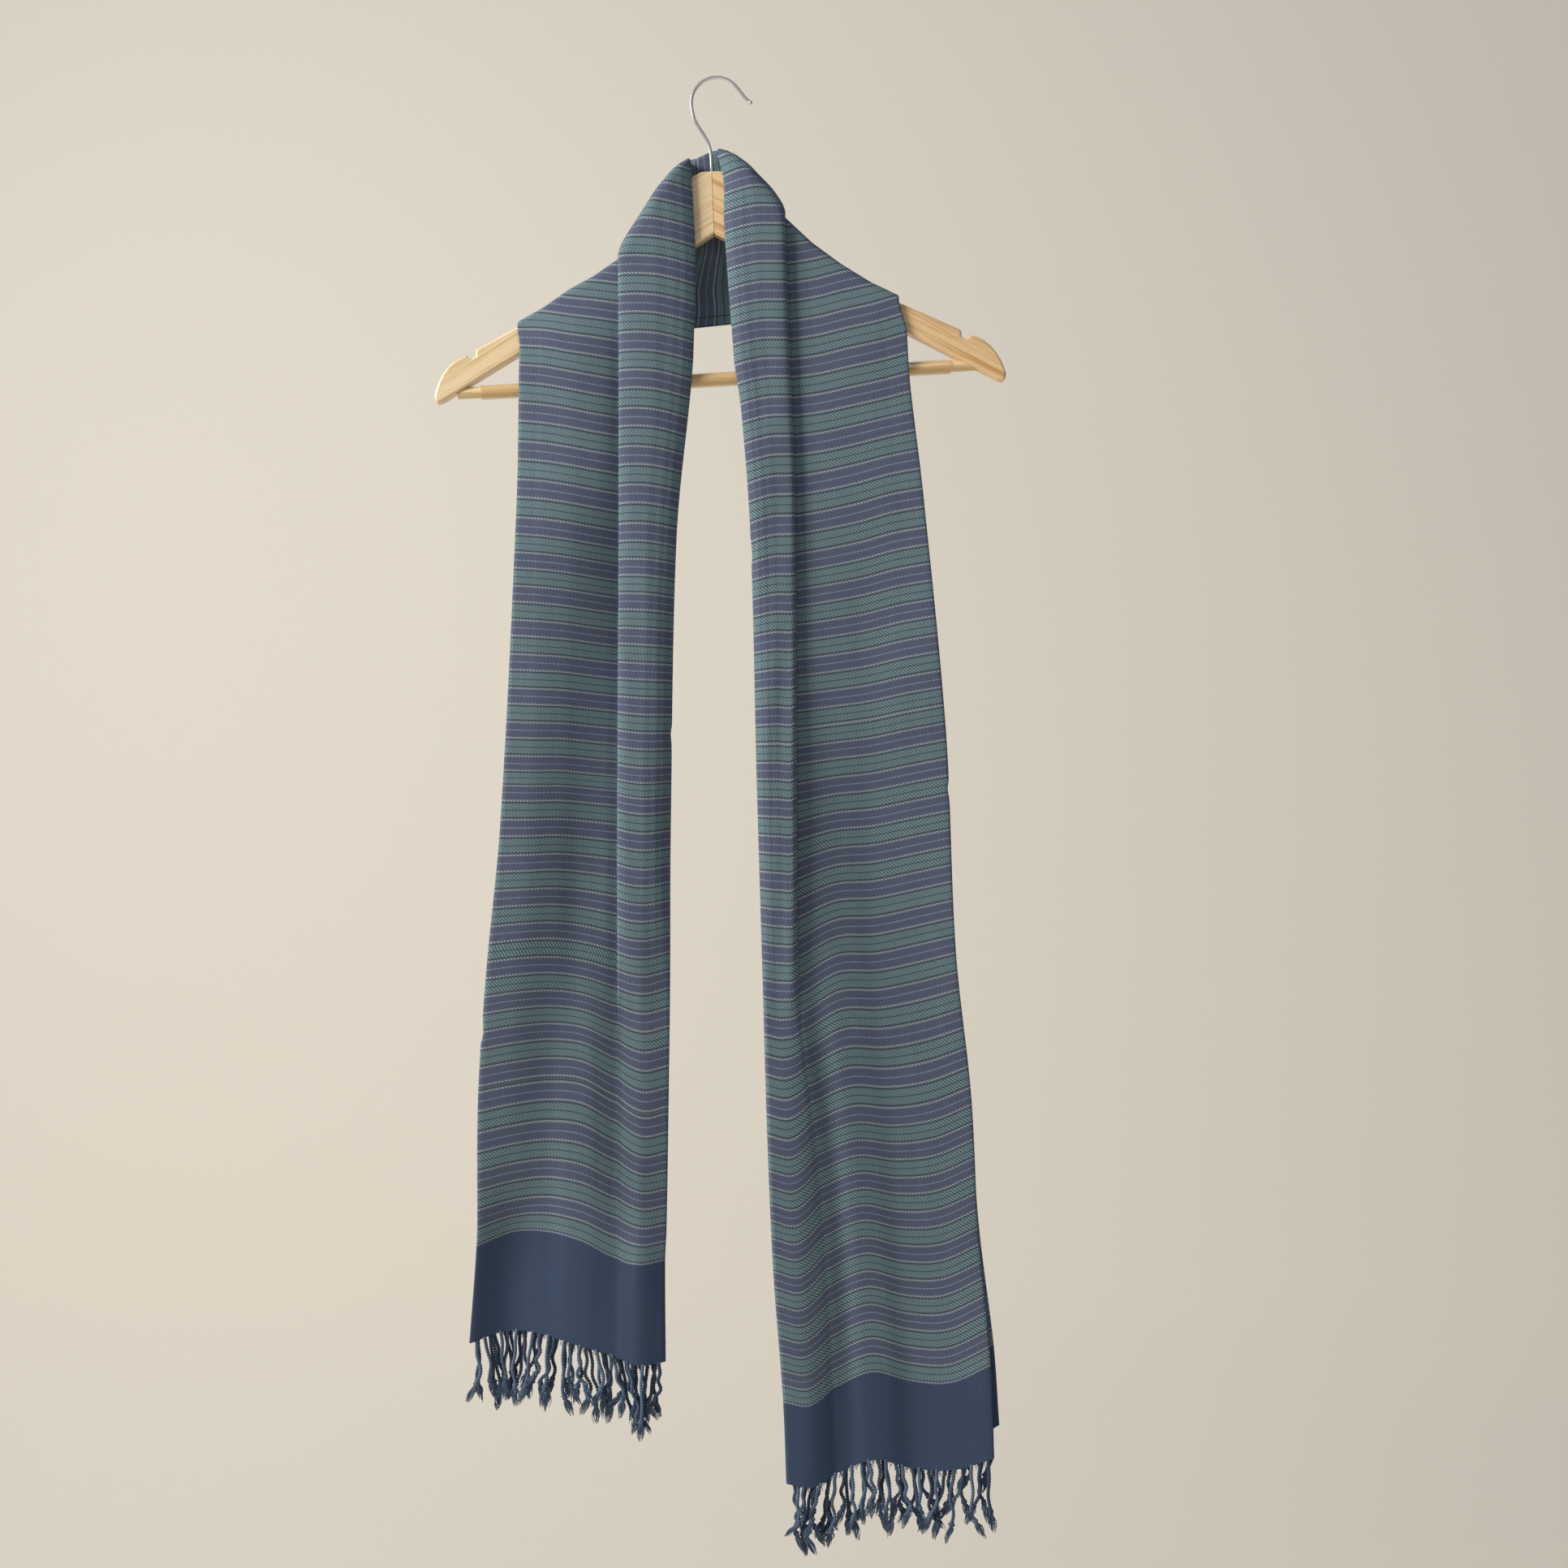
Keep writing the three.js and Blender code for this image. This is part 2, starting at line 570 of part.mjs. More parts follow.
function fringeGeometry(fall) {
  const hemDown = fall.rows.at(-1).down;
  const row = fallRow(fall, hemDown);
  const wall = fallWall(row);
  const lowered = (drop) => placeWall(wall, (p) => fallPoint(row, p).add(new THREE.Vector3(0, 0, -drop)));
  const stripBottom = lowered(SEAM_GAP + FRINGE_STRIP);
  let fringe = toSolid(wallGeometry([lowered(SEAM_GAP), stripBottom]));
  for (let layer = 0; layer < FRINGE_ROWS; layer += 1) {
    const middles = layerMiddles(stripBottom, layer);
    const stagger = layer % 2 ? 0.8 : 0.3;
    for (let i = 0; i < STRANDS_PER_ROW; i += 1) {
      const counter = layer * STRANDS_PER_ROW + i + (fall.side > 0 ? 200 : 0);
      const root = alongLine(middles, (i + stagger) / STRANDS_PER_ROW);
      root.z += STRAND_ROOT_DEPTH;
      const length = lerp(STRAND_LENGTH.shortest, STRAND_LENGTH.longest, scatter(counter));
      const sway = STRAND_SWAY.reach * Math.sin(root.x / STRAND_SWAY.wave) + scatter(counter + 50) - 0.5;
      const down = (share, sideways) => root.clone().add(new THREE.Vector3(sway * sideways, 0, -length * share));
      const line = [root, down(0.45, 0.7), down(0.78, 1), down(1, 0.8)];
      const radii = [STRAND_ROOT_RADIUS, STRAND_RADIUS, TUFT_RADIUS, TUFT_TIP_RADIUS];
      fringe = fringe.add(toSolid(strandGeometry(line, radii, counter)));
    }
  }
  return toGeometry(fringe);
}

// ---------------------------------------------------------------- the hanger

// One arm's outline, from the mitre along the top, round the notch and the tip, and back underneath.
// It runs a little past the mitre, where it is cut square.
function armOutline(side) {
  const overrun = 5;
  const topCurve = new THREE.SplineCurve(ARM_TOP.map(([d, z]) => new THREE.Vector2(d, z)));
  const tipCurve = new THREE.SplineCurve([NOTCH.end, ...ARM_TIP].map(([d, z]) => new THREE.Vector2(d, z)));
  const notch = [NOTCH.start, ...NOTCH.bottom].map(([d, z]) => new THREE.Vector2(d, z));
  const outline = [
    new THREE.Vector2(-overrun, ARM_NECK_TOP),
    ...topCurve.getPoints(13),
    ...notch,
    ...tipCurve.getPoints(9),
    new THREE.Vector2(...ARM_UNDERSIDE_END),
    new THREE.Vector2(0, ARM_APEX),
    new THREE.Vector2(-overrun, ARM_APEX),
  ];
  return inset(outline, ARM_ROUNDING).map((p) => new THREE.Vector2(HANGER_AXIS + side * p.x, p.y));
}

// A clockwise outline moved inwards, each corner along the line that halves it.
function inset(outline, distance) {
  return outline.map((p, i) => {
    const before = outline[(i + outline.length - 1) % outline.length];
    const after = outline[(i + 1) % outline.length];
    const arrive = p.clone().sub(before).normalize();
    const leave = after.clone().sub(p).normalize();
    const along = arrive.clone().add(leave).normalize();
    const mitre = distance / Math.max(along.dot(leave), 0.5);
    return new THREE.Vector2(p.x + along.y * mitre, p.y - along.x * mitre);
  });
}

function barCentre(distance) {
  return new THREE.Vector3(HANGER_AXIS + distance, 0, BAR_HEIGHT + distance * Math.tan(BAR_LEAN));
}

function armGeometry(side) {
  const plate = new THREE.ExtrudeGeometry(new THREE.Shape(armOutline(side)), {
    depth: ARM_THICKNESS - 2 * ARM_ROUNDING,
    bevelThickness: ARM_ROUNDING,
    bevelSize: ARM_ROUNDING,
    bevelSegments: 2,
  });
  plate.translate(0, 0, -(ARM_THICKNESS - 2 * ARM_ROUNDING) / 2);
  plate.rotateX(Math.PI / 2);
  const overMitre = new THREE.BoxGeometry(40, 40, 200);
  overMitre.translate(HANGER_AXIS - side * (20 - MITRE_GAP / 2), 0, ARM_APEX);
  const shankLength = ARM_NECK_TOP - SHANK_BOTTOM + 10;
  const shankMiddle = new THREE.Vector3(HANGER_AXIS, 0, SHANK_BOTTOM - SHANK_CLEARANCE + shankLength / 2);
  const upright = new THREE.Vector3(0, 0, 1);
  const shankHole = turnedCylinder(WIRE_RADIUS + SHANK_CLEARANCE, shankLength, 12, shankMiddle, upright);
  const socketEnd = BAR_HALF_LENGTH + BAR_SOCKET_CLEARANCE;
  const along = barCentre(side).sub(barCentre(0));
  const socketMiddle = barCentre(side * (socketEnd - 30));
  const socket = turnedCylinder(BAR_RADIUS + BAR_SOCKET_CLEARANCE, 60, 16, socketMiddle, along);
  const cuts = [overMitre, shankHole, socket];
  return toGeometry(cuts.reduce((arm, cut) => arm.subtract(toSolid(cut)), toSolid(plate)));
}

function barGeometry() {
  const along = barCentre(1).sub(barCentre(0));
  return turnedCylinder(BAR_RADIUS, 2 * BAR_HALF_LENGTH, 16, barCentre(0), along);
}

function sleeveGeometry() {
  const length = SLEEVE.right - SLEEVE.left;
  const profile = [
    new THREE.Vector2(SLEEVE.inner, -length / 2),
    new THREE.Vector2(SLEEVE.outer, -length / 2),
    new THREE.Vector2(SLEEVE.outer, length / 2),
    new THREE.Vector2(SLEEVE.inner, length / 2),
    new THREE.Vector2(SLEEVE.inner, -length / 2),
  ];
  const tube = new THREE.LatheGeometry(profile, 16);
  tube.rotateZ(-Math.PI / 2 + BAR_LEAN);
  tube.rotateX(Math.PI / 2);
  const middle = barCentre((SLEEVE.left + SLEEVE.right) / 2);
  tube.translate(middle.x, middle.y, middle.z - SLEEVE.sag);
  return tube;
}

// The hook is one wire: a straight shank, a swan neck, a round curl and a tip that turns up to a ball.
function hookGeometry() {
  const route = [
    [HANGER_AXIS, SHANK_BOTTOM], [HANGER_AXIS, SHANK_BOTTOM + 12], [HANGER_AXIS, SHANK_TOP - 6],
    [HANGER_AXIS, SHANK_TOP], ...HOOK_NECK,
  ];
  for (let i = 0; i < CURL.points; i += 1) {
    const angle = THREE.MathUtils.degToRad(lerp(CURL.fromDegrees, CURL.toDegrees, i / (CURL.points - 1)));
    route.push([CURL.x + CURL.radius * Math.cos(angle), CURL.z + CURL.radius * Math.sin(angle)]);
  }
  route.push(...HOOK_TIP);
  const points = route.map(([x, z]) => new THREE.Vector3(x, 0, z));
  const curve = new THREE.CatmullRomCurve3(points, false, 'centripetal');
  const section = new THREE.Shape();
  for (let i = 0; i < WIRE_SIDES; i += 1) {
    const angle = (2 * Math.PI * (i + 0.5)) / WIRE_SIDES;
    const place = [WIRE_RADIUS * Math.cos(angle), WIRE_RADIUS * Math.sin(angle)];
    if (i === 0) section.moveTo(...place);
    else section.lineTo(...place);
  }
  section.closePath();
  const wire = new THREE.ExtrudeGeometry(section, { steps: WIRE_STEPS, extrudePath: curve });
  const ball = new THREE.SphereGeometry(TIP_BALL_RADIUS, 10, 7);
  const [tipX, tipZ] = HOOK_TIP.at(-1);
  ball.translate(tipX, 0, tipZ);
  return toGeometry(toSolid(wire).add(toSolid(ball)));
}

// ---------------------------------------------------------------- the whole

function piece(name, geometry, material) {
  const mesh = new THREE.Mesh(geometry, material);
  mesh.name = name;
  return mesh;
}

const stole = new THREE.Group();
stole.add(
  piece('stole_left_fall', wallGeometry(fallRows(LEFT_FALL)), wovenCloth.clone()),
  piece('stole_neck', wallGeometry(neckRows()), wovenCloth.clone()),
  piece('stole_right_fall', wallGeometry(fallRows(RIGHT_FALL)), wovenCloth.clone()),
  piece('fringe_left', fringeGeometry(LEFT_FALL), fringeYarn.clone()),
  piece('fringe_right', fringeGeometry(RIGHT_FALL), fringeYarn.clone()),
);

const hanger = new THREE.Group();
hanger.rotation.y = -HANGER_TILT;
hanger.add(
  piece('hanger_arm_left', armGeometry(-1), paleWood),
  piece('hanger_arm_right', armGeometry(1), warmWood),
  piece('hanger_bar', barGeometry(), warmWood.clone()),
  piece('bar_sleeve', sleeveGeometry(), clearSleeve),
  piece('hook', hookGeometry(), steelWire),
);

const stoleOnHanger = new THREE.Group();
stoleOnHanger.add(stole, hanger);

export default stoleOnHanger;
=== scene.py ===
# %% [markdown]
# # A handwoven stole over a wooden hanger
#
# The real thing is one strip of cotton, about 0.62 m wide and 2 m long, folded lengthwise in four, hung
# like a collar round the neck of a coat hanger. This notebook dresses a CAD model of it: the cloth becomes
# one thin folded sheet, the fringe twisted cords with knots and tufts, and the hanger gets its materials.
#
# First the CAD model is loaded. It is the frame: everything here is measured in it, in metres, with +Z up
# and the viewer looking along +Y.

# %% Load the frame
import math
from functools import partial

import bpy
import numpy as np
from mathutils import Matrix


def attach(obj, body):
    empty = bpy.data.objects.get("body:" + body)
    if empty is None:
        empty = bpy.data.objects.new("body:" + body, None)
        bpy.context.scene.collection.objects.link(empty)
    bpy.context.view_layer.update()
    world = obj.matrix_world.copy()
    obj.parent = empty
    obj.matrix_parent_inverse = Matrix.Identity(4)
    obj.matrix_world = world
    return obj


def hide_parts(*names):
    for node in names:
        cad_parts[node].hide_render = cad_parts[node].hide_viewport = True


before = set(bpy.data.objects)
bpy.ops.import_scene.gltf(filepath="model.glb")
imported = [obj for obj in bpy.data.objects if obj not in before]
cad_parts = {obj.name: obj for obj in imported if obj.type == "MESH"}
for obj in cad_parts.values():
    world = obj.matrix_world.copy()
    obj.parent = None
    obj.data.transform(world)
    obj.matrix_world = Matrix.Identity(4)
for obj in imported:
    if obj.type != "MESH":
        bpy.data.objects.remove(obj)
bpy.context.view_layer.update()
print("CAD nodes:", sorted(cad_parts))

# %% [markdown]
# ## Small helpers
#
# Shapes here are grids of points, rows by columns, and one helper turns a grid into quads. Numpy works out
# whole grids at once. Sizes are written in millimetres and become metres only when the mesh is made.

# %% Grids of points to meshes
MM = 0.001


def grid_quads(rows, columns, closed=False):
    """Quads between neighbours in a grid of points. Closed: the last column joins the first."""
    r, c = np.meshgrid(np.arange(rows - 1), np.arange(columns if closed else columns - 1), indexing="ij")
    after = (c + 1) % columns
    quads = [r * columns + c, r * columns + after, (r + 1) * columns + after, (r + 1) * columns + c]
    return np.stack(quads, axis=-1).reshape(-1, 4)


def new_object(name, data):
    """An object at the origin for a mesh, a light or a camera."""
    made = bpy.data.objects.new(name, data)
    bpy.context.scene.collection.objects.link(made)
    return made


def mesh_object(name, points, faces, material):
    """A smoothly shaded mesh object from points in millimetres and a list of faces."""
    mesh = bpy.data.meshes.new(name)
    mesh.from_pydata((np.asarray(points, float) * MM).tolist(), [], [list(map(int, f)) for f in faces])
    mesh.polygons.foreach_set("use_smooth", np.ones(len(mesh.polygons), bool))
    mesh.materials.append(material)
    return new_object(name, mesh)


def mesh_piece(name, points, faces, material):
    """A piece of the part."""
    piece = mesh_object(name, points, faces, material)
    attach(piece, "root")
    return piece


def point_attribute(mesh, name, values):
    """One number for each vertex, which a material reads by its name."""
    mesh.attributes.new(name, "FLOAT", "POINT").data.foreach_set("value", np.asarray(values, np.float32).ravel())


print("quads in a 3 x 4 grid:", len(grid_quads(3, 4)))

# %% [markdown]
# The edges and weft lines of hanging cloth are measured at a handful of places, and a smooth curve runs
# through them: a cubic Hermite curve, whose slope at each point is that of the line between its two
# neighbours. It is linear in the measured values, so its weights are worked out once for many tables.

# %% A smooth curve through measured points


def clamp(value):
    """value kept between 0 and 1."""
    return np.clip(value, 0, 1)


def curve_weights(xs, x):
    """Weights W so that W @ ys is the smooth curve through (xs, ys) at x, and straight past its ends."""
    xs, x = np.asarray(xs, float), np.asarray(x, float)
    last = len(xs) - 1
    unit = np.eye(last + 1)
    before, after = np.maximum(np.arange(last + 1) - 1, 0), np.minimum(np.arange(last + 1) + 1, last)
    slope = (unit[after] - unit[before]) / (xs[after] - xs[before])[:, None]
    i = np.clip(np.searchsorted(xs, x, side="right") - 1, 0, last - 1)
    width = xs[i + 1] - xs[i]
    t = (x - xs[i]) / width
    k = clamp(t)
    rise = (k * k * (3 - 2 * k))[..., None]
    leave = (k * (1 - k) ** 2 * width)[..., None]
    arrive = (-k * k * (1 - k) * width)[..., None]
    beyond = ((t - k) * width)[..., None] * np.where((t < 0)[..., None], slope[0], slope[last])
    return (1 - rise) * unit[i] + rise * unit[i + 1] + leave * slope[i] + arrive * slope[i + 1] + beyond


def smooth(xs, ys, x):
    """The smooth curve through (xs, ys) at each x."""
    return curve_weights(xs, x) @ np.asarray(ys, float)


def mix(a, b, share):
    """a where share is 0, b where it is 1, and straight between."""
    return a + (b - a) * share


def length_along(points):
    """Length of each column of points from its first row, rows x columns."""
    steps = np.linalg.norm(np.diff(points, axis=0), axis=-1)
    return np.concatenate([np.zeros((1, points.shape[1])), np.cumsum(steps, axis=0)])


print("half way up a step:", float(smooth([0, 1, 2, 3], [0, 0, 1, 1], 1.5)))

# %% [markdown]
# ## Materials: the helpers
#
# Every finish is a node tree on Blender's Principled shader. One function adds a node with its settings
# and links, so a tree reads like a list of steps. Colours are written as the sRGB hex values that a
# paint chart gives, and one function turns them into the linear values that light needs.

# %% Colours and nodes


def linear_colour(text):
    """A linear RGBA colour from an sRGB hex value such as 4a5265."""
    srgb = np.array([int(text[i : i + 2], 16) for i in (0, 2, 4)]) / 255
    linear = np.where(srgb <= 0.04045, srgb / 12.92, ((srgb + 0.055) / 1.055) ** 2.4)
    return (*linear.tolist(), 1.0)


def feed(socket, value):
    """Links a node's first output, or the given output, to a socket. Anything else becomes its value."""
    if isinstance(value, bpy.types.Node):
        value = value.outputs[0]
    if isinstance(value, bpy.types.NodeSocket):
        socket.id_data.links.new(value, socket)
    else:
        socket.default_value = linear_colour(value) if isinstance(value, str) else value


def add_node(tree, kind, *values, stops=(), **named):
    """Adds a node of a kind, or a Math node when kind is an operation in capitals. values go to its sockets in
    turn. A name in lower case is a setting, in6 is socket 6, and any other name is a socket's own. stops are
    a colour ramp's: (place, hex colour)."""
    made = tree.nodes.new("ShaderNodeMath" if kind.isupper() else "ShaderNode" + kind)
    if kind.isupper():
        made.operation = kind
    sockets = dict(enumerate(values))
    for key, value in named.items():
        if key[2:].isdigit():
            sockets[int(key[2:])] = value
        elif key.islower():
            setattr(made, key, value)
        else:
            sockets[key.replace("_", " ")] = value
    for place, value in sockets.items():
        feed(made.inputs[place], value)
    if stops:
        elements = made.color_ramp.elements
        elements[0].position, elements[1].position = stops[0][0], stops[-1][0]
        for place, _ in stops[1:-1]:
            elements.new(place)
        for element, (_, text) in zip(elements, stops):
            element.color = linear_colour(text)
    return made


def new_material(name, **principled):
    """A material with one Principled shader, whose constants are set on its own sockets. It is returned
    with add_node bound to its tree, and the shader."""
    material = bpy.data.materials.new(name)
    material.use_nodes = True
    shader = material.node_tree.nodes["Principled BSDF"]
    for key, value in principled.items():
        feed(shader.inputs[key.replace("_", " ")], value)
    return material, partial(add_node, material.node_tree), shader


def thread_wave(add, coordinate, pitch):
    """A sine wave from -1 to 1 along a coordinate in metres. pitch is in millimetres."""
    return add("SINE", add("MULTIPLY", coordinate, 2 * math.pi / (pitch * MM)))


def drawn_out_noise(add, where, cells, detail, **inputs):
    """Noise from 0 to 1 in long streaks. cells is how many fit in a metre along each axis."""
    at = add("VectorMath", where, cells, operation="MULTIPLY")
    return add("TexNoise", Vector=at, Scale=1.0, Detail=detail, **inputs)


print("slate blue in linear light:", [round(v, 3) for v in linear_colour("4a5265")[:3]])

# %% [markdown]
# ## The cloth's weave
#
# Handloom cotton twill: dark warp runs the length of the strip, and the coloured weft makes the stripes. One
# repeat is 29.9 mm and reads the same both ways: a dotted white pick in the middle of a slate band, a white
# twill line, a dark line, two bands of sea green parted by a thin dark pick, and back again. The pattern
# needs a coordinate that follows the cloth, so the mesh carries a UV map in metres (u across the strip, v
# along it) and a number that counts the repeats, since a hand weaver never beats them all alike.
#
# Twill shows as fine slanted lines. A wave across u and v draws them, and cuts the white lines into dashes.
# The real lines are 1.6 mm apart and the threads 0.4 mm, too fine to show from here, so the twill is drawn
# at 2.5 mm along the weft and the tabby grain of the plain end bands at 1.2 mm.

# %% Woven cotton twill with weft stripes
REPEAT = 29.9
TWILL_PITCH, DOT_PITCH, TABBY_PITCH, STITCH_PITCH = 2.5, 3.0, 1.2, 2.6
SLATE, SEA_GREEN, DARK_PICK, NAVY = "5b657f", "7f9da5", "4a576a", "3b4e6d"
WHITE_PICK, DOTTED_PICK = "a6b5be", "94a1ae"
DARK_WARP, NAVY_SHADE, STITCH_THREAD = "263040", "2b3649", "232b36"
# From the middle of the slate band, in mm: where the bands of half a repeat start and end.
DOTTED_END, WHITE_LINE, GREEN_BAND = 0.42, (6.0, 7.6), (9.3, 14.4)
BAND_STARTS = (0.0, DOTTED_END, *WHITE_LINE, *GREEN_BAND)
BAND_COLOURS = (DOTTED_PICK, SLATE, WHITE_PICK, DARK_PICK, SEA_GREEN, DARK_PICK)
LEFT_SHORT = {"after": 21.3, "skips": 0.368}  # one repeat without its green, near the left hem
RIGHT_LONG = {"after": 22.776, "again": 0.562}  # one repeat whose green comes twice, on the right
LEFT_BORDER, RIGHT_BORDER = 25.38, 41.31  # repeats at which the plain end bands start
BORDER_LINE = 0.75  # half the width of the white twill line there, in mm
HEM, STITCH_LINE = 6.0, 0.45  # the hem's width, and half the width of its stitches, in mm
# How much of the dark warp shows between the slanted weft floats, and how much more in two bands.
WARP_SHOWS, MORE_IN_WHITE, MORE_IN_GREEN = 0.38, 0.45, 0.42
# How much darker a hidden dot is, how white the border's line, and how much twill and tabby show in navy.
DOT_FADES, BORDER_WHITE, NAVY_TWILL, NAVY_TABBY = 0.75, 0.8, 0.3, 0.22
WANDER = 0.03  # how far a pick wanders, in repeats
# Noise cells in a metre across and along the strip: where picks wander, and streaks of picks and of warp.
WANDER_CELLS, PICK_CELLS, WARP_CELLS = (9, 35, 0), (14, 900, 0), (700, 12, 0)
# A Mix node of colours blends its sockets 6 and 7, and its output is number 2.

cloth_twill, add, shader = new_material(
    "handloom_cotton_twill", Roughness=0.88, Sheen_Weight=0.12, Sheen_Roughness=0.5, Sheen_Tint="c8d4d8"
)
uv = add("UVMap", uv_map="warp_and_weft")
u, v, _ = add("SeparateXYZ", uv).outputs
beat = add("Attribute", attribute_name="beat").outputs["Fac"]

# Picks wander a little. On each side one repeat is shorter or longer than the others.
wander = add("SUBTRACT", drawn_out_noise(add, uv, WANDER_CELLS, 2.0), 0.5)
beat = add("MULTIPLY_ADD", wander, WANDER, beat)
count = add("MULTIPLY_ADD", add("GREATER_THAN", beat, LEFT_SHORT["after"]), LEFT_SHORT["skips"], beat)
count = add("MULTIPLY_ADD", add("LESS_THAN", beat, -RIGHT_LONG["after"]), RIGHT_LONG["again"], count)
from_middle = add("PINGPONG", count, 0.5)
stops = [(at / REPEAT, colour) for at, colour in zip(BAND_STARTS, BAND_COLOURS)]
bands = add("ValToRGB", from_middle, stops=stops)
bands.color_ramp.interpolation = "CONSTANT"

# The twill line: a slanted wave, 1 on the weft and 0 on the dark warp.
twill_wave = thread_wave(add, add("ADD", u, v), TWILL_PITCH)
twill = add("MULTIPLY_ADD", twill_wave, 0.5, 0.5)
warp_shows = WARP_SHOWS
for (start, end), more in ((WHITE_LINE, MORE_IN_WHITE), (GREEN_BAND, MORE_IN_GREEN)):
    in_band = add("COMPARE", from_middle, (start + end) / 2 / REPEAT, (end - start) / 2 / REPEAT)
    warp_shows = add("MULTIPLY_ADD", in_band, more, warp_shows)
warp_share = add("MULTIPLY", add("SUBTRACT", 1.0, twill), warp_shows, use_clamp=True)
striped = add("Mix", warp_share, data_type="RGBA", in6=bands, in7=DARK_WARP).outputs[2]

# The dotted pick: white for half its pitch, then hidden.
hidden = add("LESS_THAN", thread_wave(add, u, DOT_PITCH), -0.1)
on_dots = add("LESS_THAN", from_middle, DOTTED_END / REPEAT)
gaps = add("MULTIPLY", add("MULTIPLY", hidden, on_dots), DOT_FADES)
striped = add("Mix", gaps, data_type="RGBA", in6=striped, in7=SLATE).outputs[2]

# The plain end bands: tabby, dark warp with a navy weft, and a faint slant where threads slipped.
grain_u, grain_v = (thread_wave(add, coordinate, TABBY_PITCH) for coordinate in (u, v))
tabby = add("MULTIPLY_ADD", add("MULTIPLY", grain_u, grain_v), 0.5, 0.5)
plain_grain = add("MULTIPLY_ADD", twill, NAVY_TWILL, add("MULTIPLY", tabby, NAVY_TABBY))
plain = add("Mix", plain_grain, data_type="RGBA", in6=NAVY, in7=NAVY_SHADE).outputs[2]
is_end = add("MAXIMUM", add("GREATER_THAN", beat, LEFT_BORDER), add("LESS_THAN", beat, -RIGHT_BORDER))
woven = add("Mix", is_end, data_type="RGBA", in6=striped, in7=plain).outputs[2]
lines = [add("COMPARE", beat, at, BORDER_LINE / REPEAT) for at in (LEFT_BORDER, -RIGHT_BORDER)]
border_line = add("MULTIPLY", add("MAXIMUM", *lines), add("MULTIPLY", twill, BORDER_WHITE))
woven = add("Mix", border_line, data_type="RGBA", in6=woven, in7=WHITE_PICK).outputs[2]

# Uneven dye: streaks along the picks and the warp, and a slow change over the cloth.
pick_streaks = drawn_out_noise(add, uv, PICK_CELLS, 3.0)
warp_streaks = drawn_out_noise(add, uv, WARP_CELLS, 2.0)
slow = add("TexNoise", Vector=uv, Scale=9.0, Detail=3.0)
shade = 0.62
for noise, strength in ((pick_streaks, 0.3), (warp_streaks, 0.24), (slow, 0.22)):
    shade = add("MULTIPLY_ADD", noise, strength, shade)
shade = add("CombineXYZ", shade, shade, shade)
woven = add("Mix", 1.0, data_type="RGBA", blend_type="MULTIPLY", in6=woven, in7=shade).outputs[2]

# The side hems: a narrow turning, its inner edge held down by a dark line of machine stitches.
edge_distance = add("Attribute", attribute_name="from_edge").outputs["Fac"]
on_stitch = add("COMPARE", edge_distance, HEM * MM, STITCH_LINE * MM)
stitches = add("MULTIPLY_ADD", thread_wave(add, v, STITCH_PITCH), 0.25, 0.65)
stitch = add("MULTIPLY", on_stitch, stitches)
woven = add("Mix", stitch, data_type="RGBA", in6=woven, in7=STITCH_THREAD).outputs[2]
feed(shader.inputs["Base Color"], woven)

# Relief: the twill stands 0.08 mm proud, single picks and the tabby less, and the stitches are pulled in.
relief = add("MULTIPLY_ADD", pick_streaks, 0.7, twill)
relief = add("MULTIPLY_ADD", tabby, 0.5, relief)
relief = add("MULTIPLY_ADD", stitch, -2.0, relief)
feed(shader.inputs["Normal"], add("Bump", Strength=0.6, Distance=0.08 * MM, Height=relief))
print(cloth_twill.name, "has", len(cloth_twill.node_tree.nodes), "nodes")

# %% [markdown]
# ## The cloth's shape
#
# Cloth folded with care is a loft, since a simulation would lose its crisp edges: a folded cross-section
# travels along the strip. The tables hold what a tape measure gives at nine weft lines of each hanging end:
# how far down the cloth they lie, where the two long edges and the edge of the knife pleat are, how far the
# pleat laps, and the height of the weft line at seven places across.
#
# Across the strip, a place is 0 at the inner edge, 1 at the pleat's edge and 2 at the outer edge.

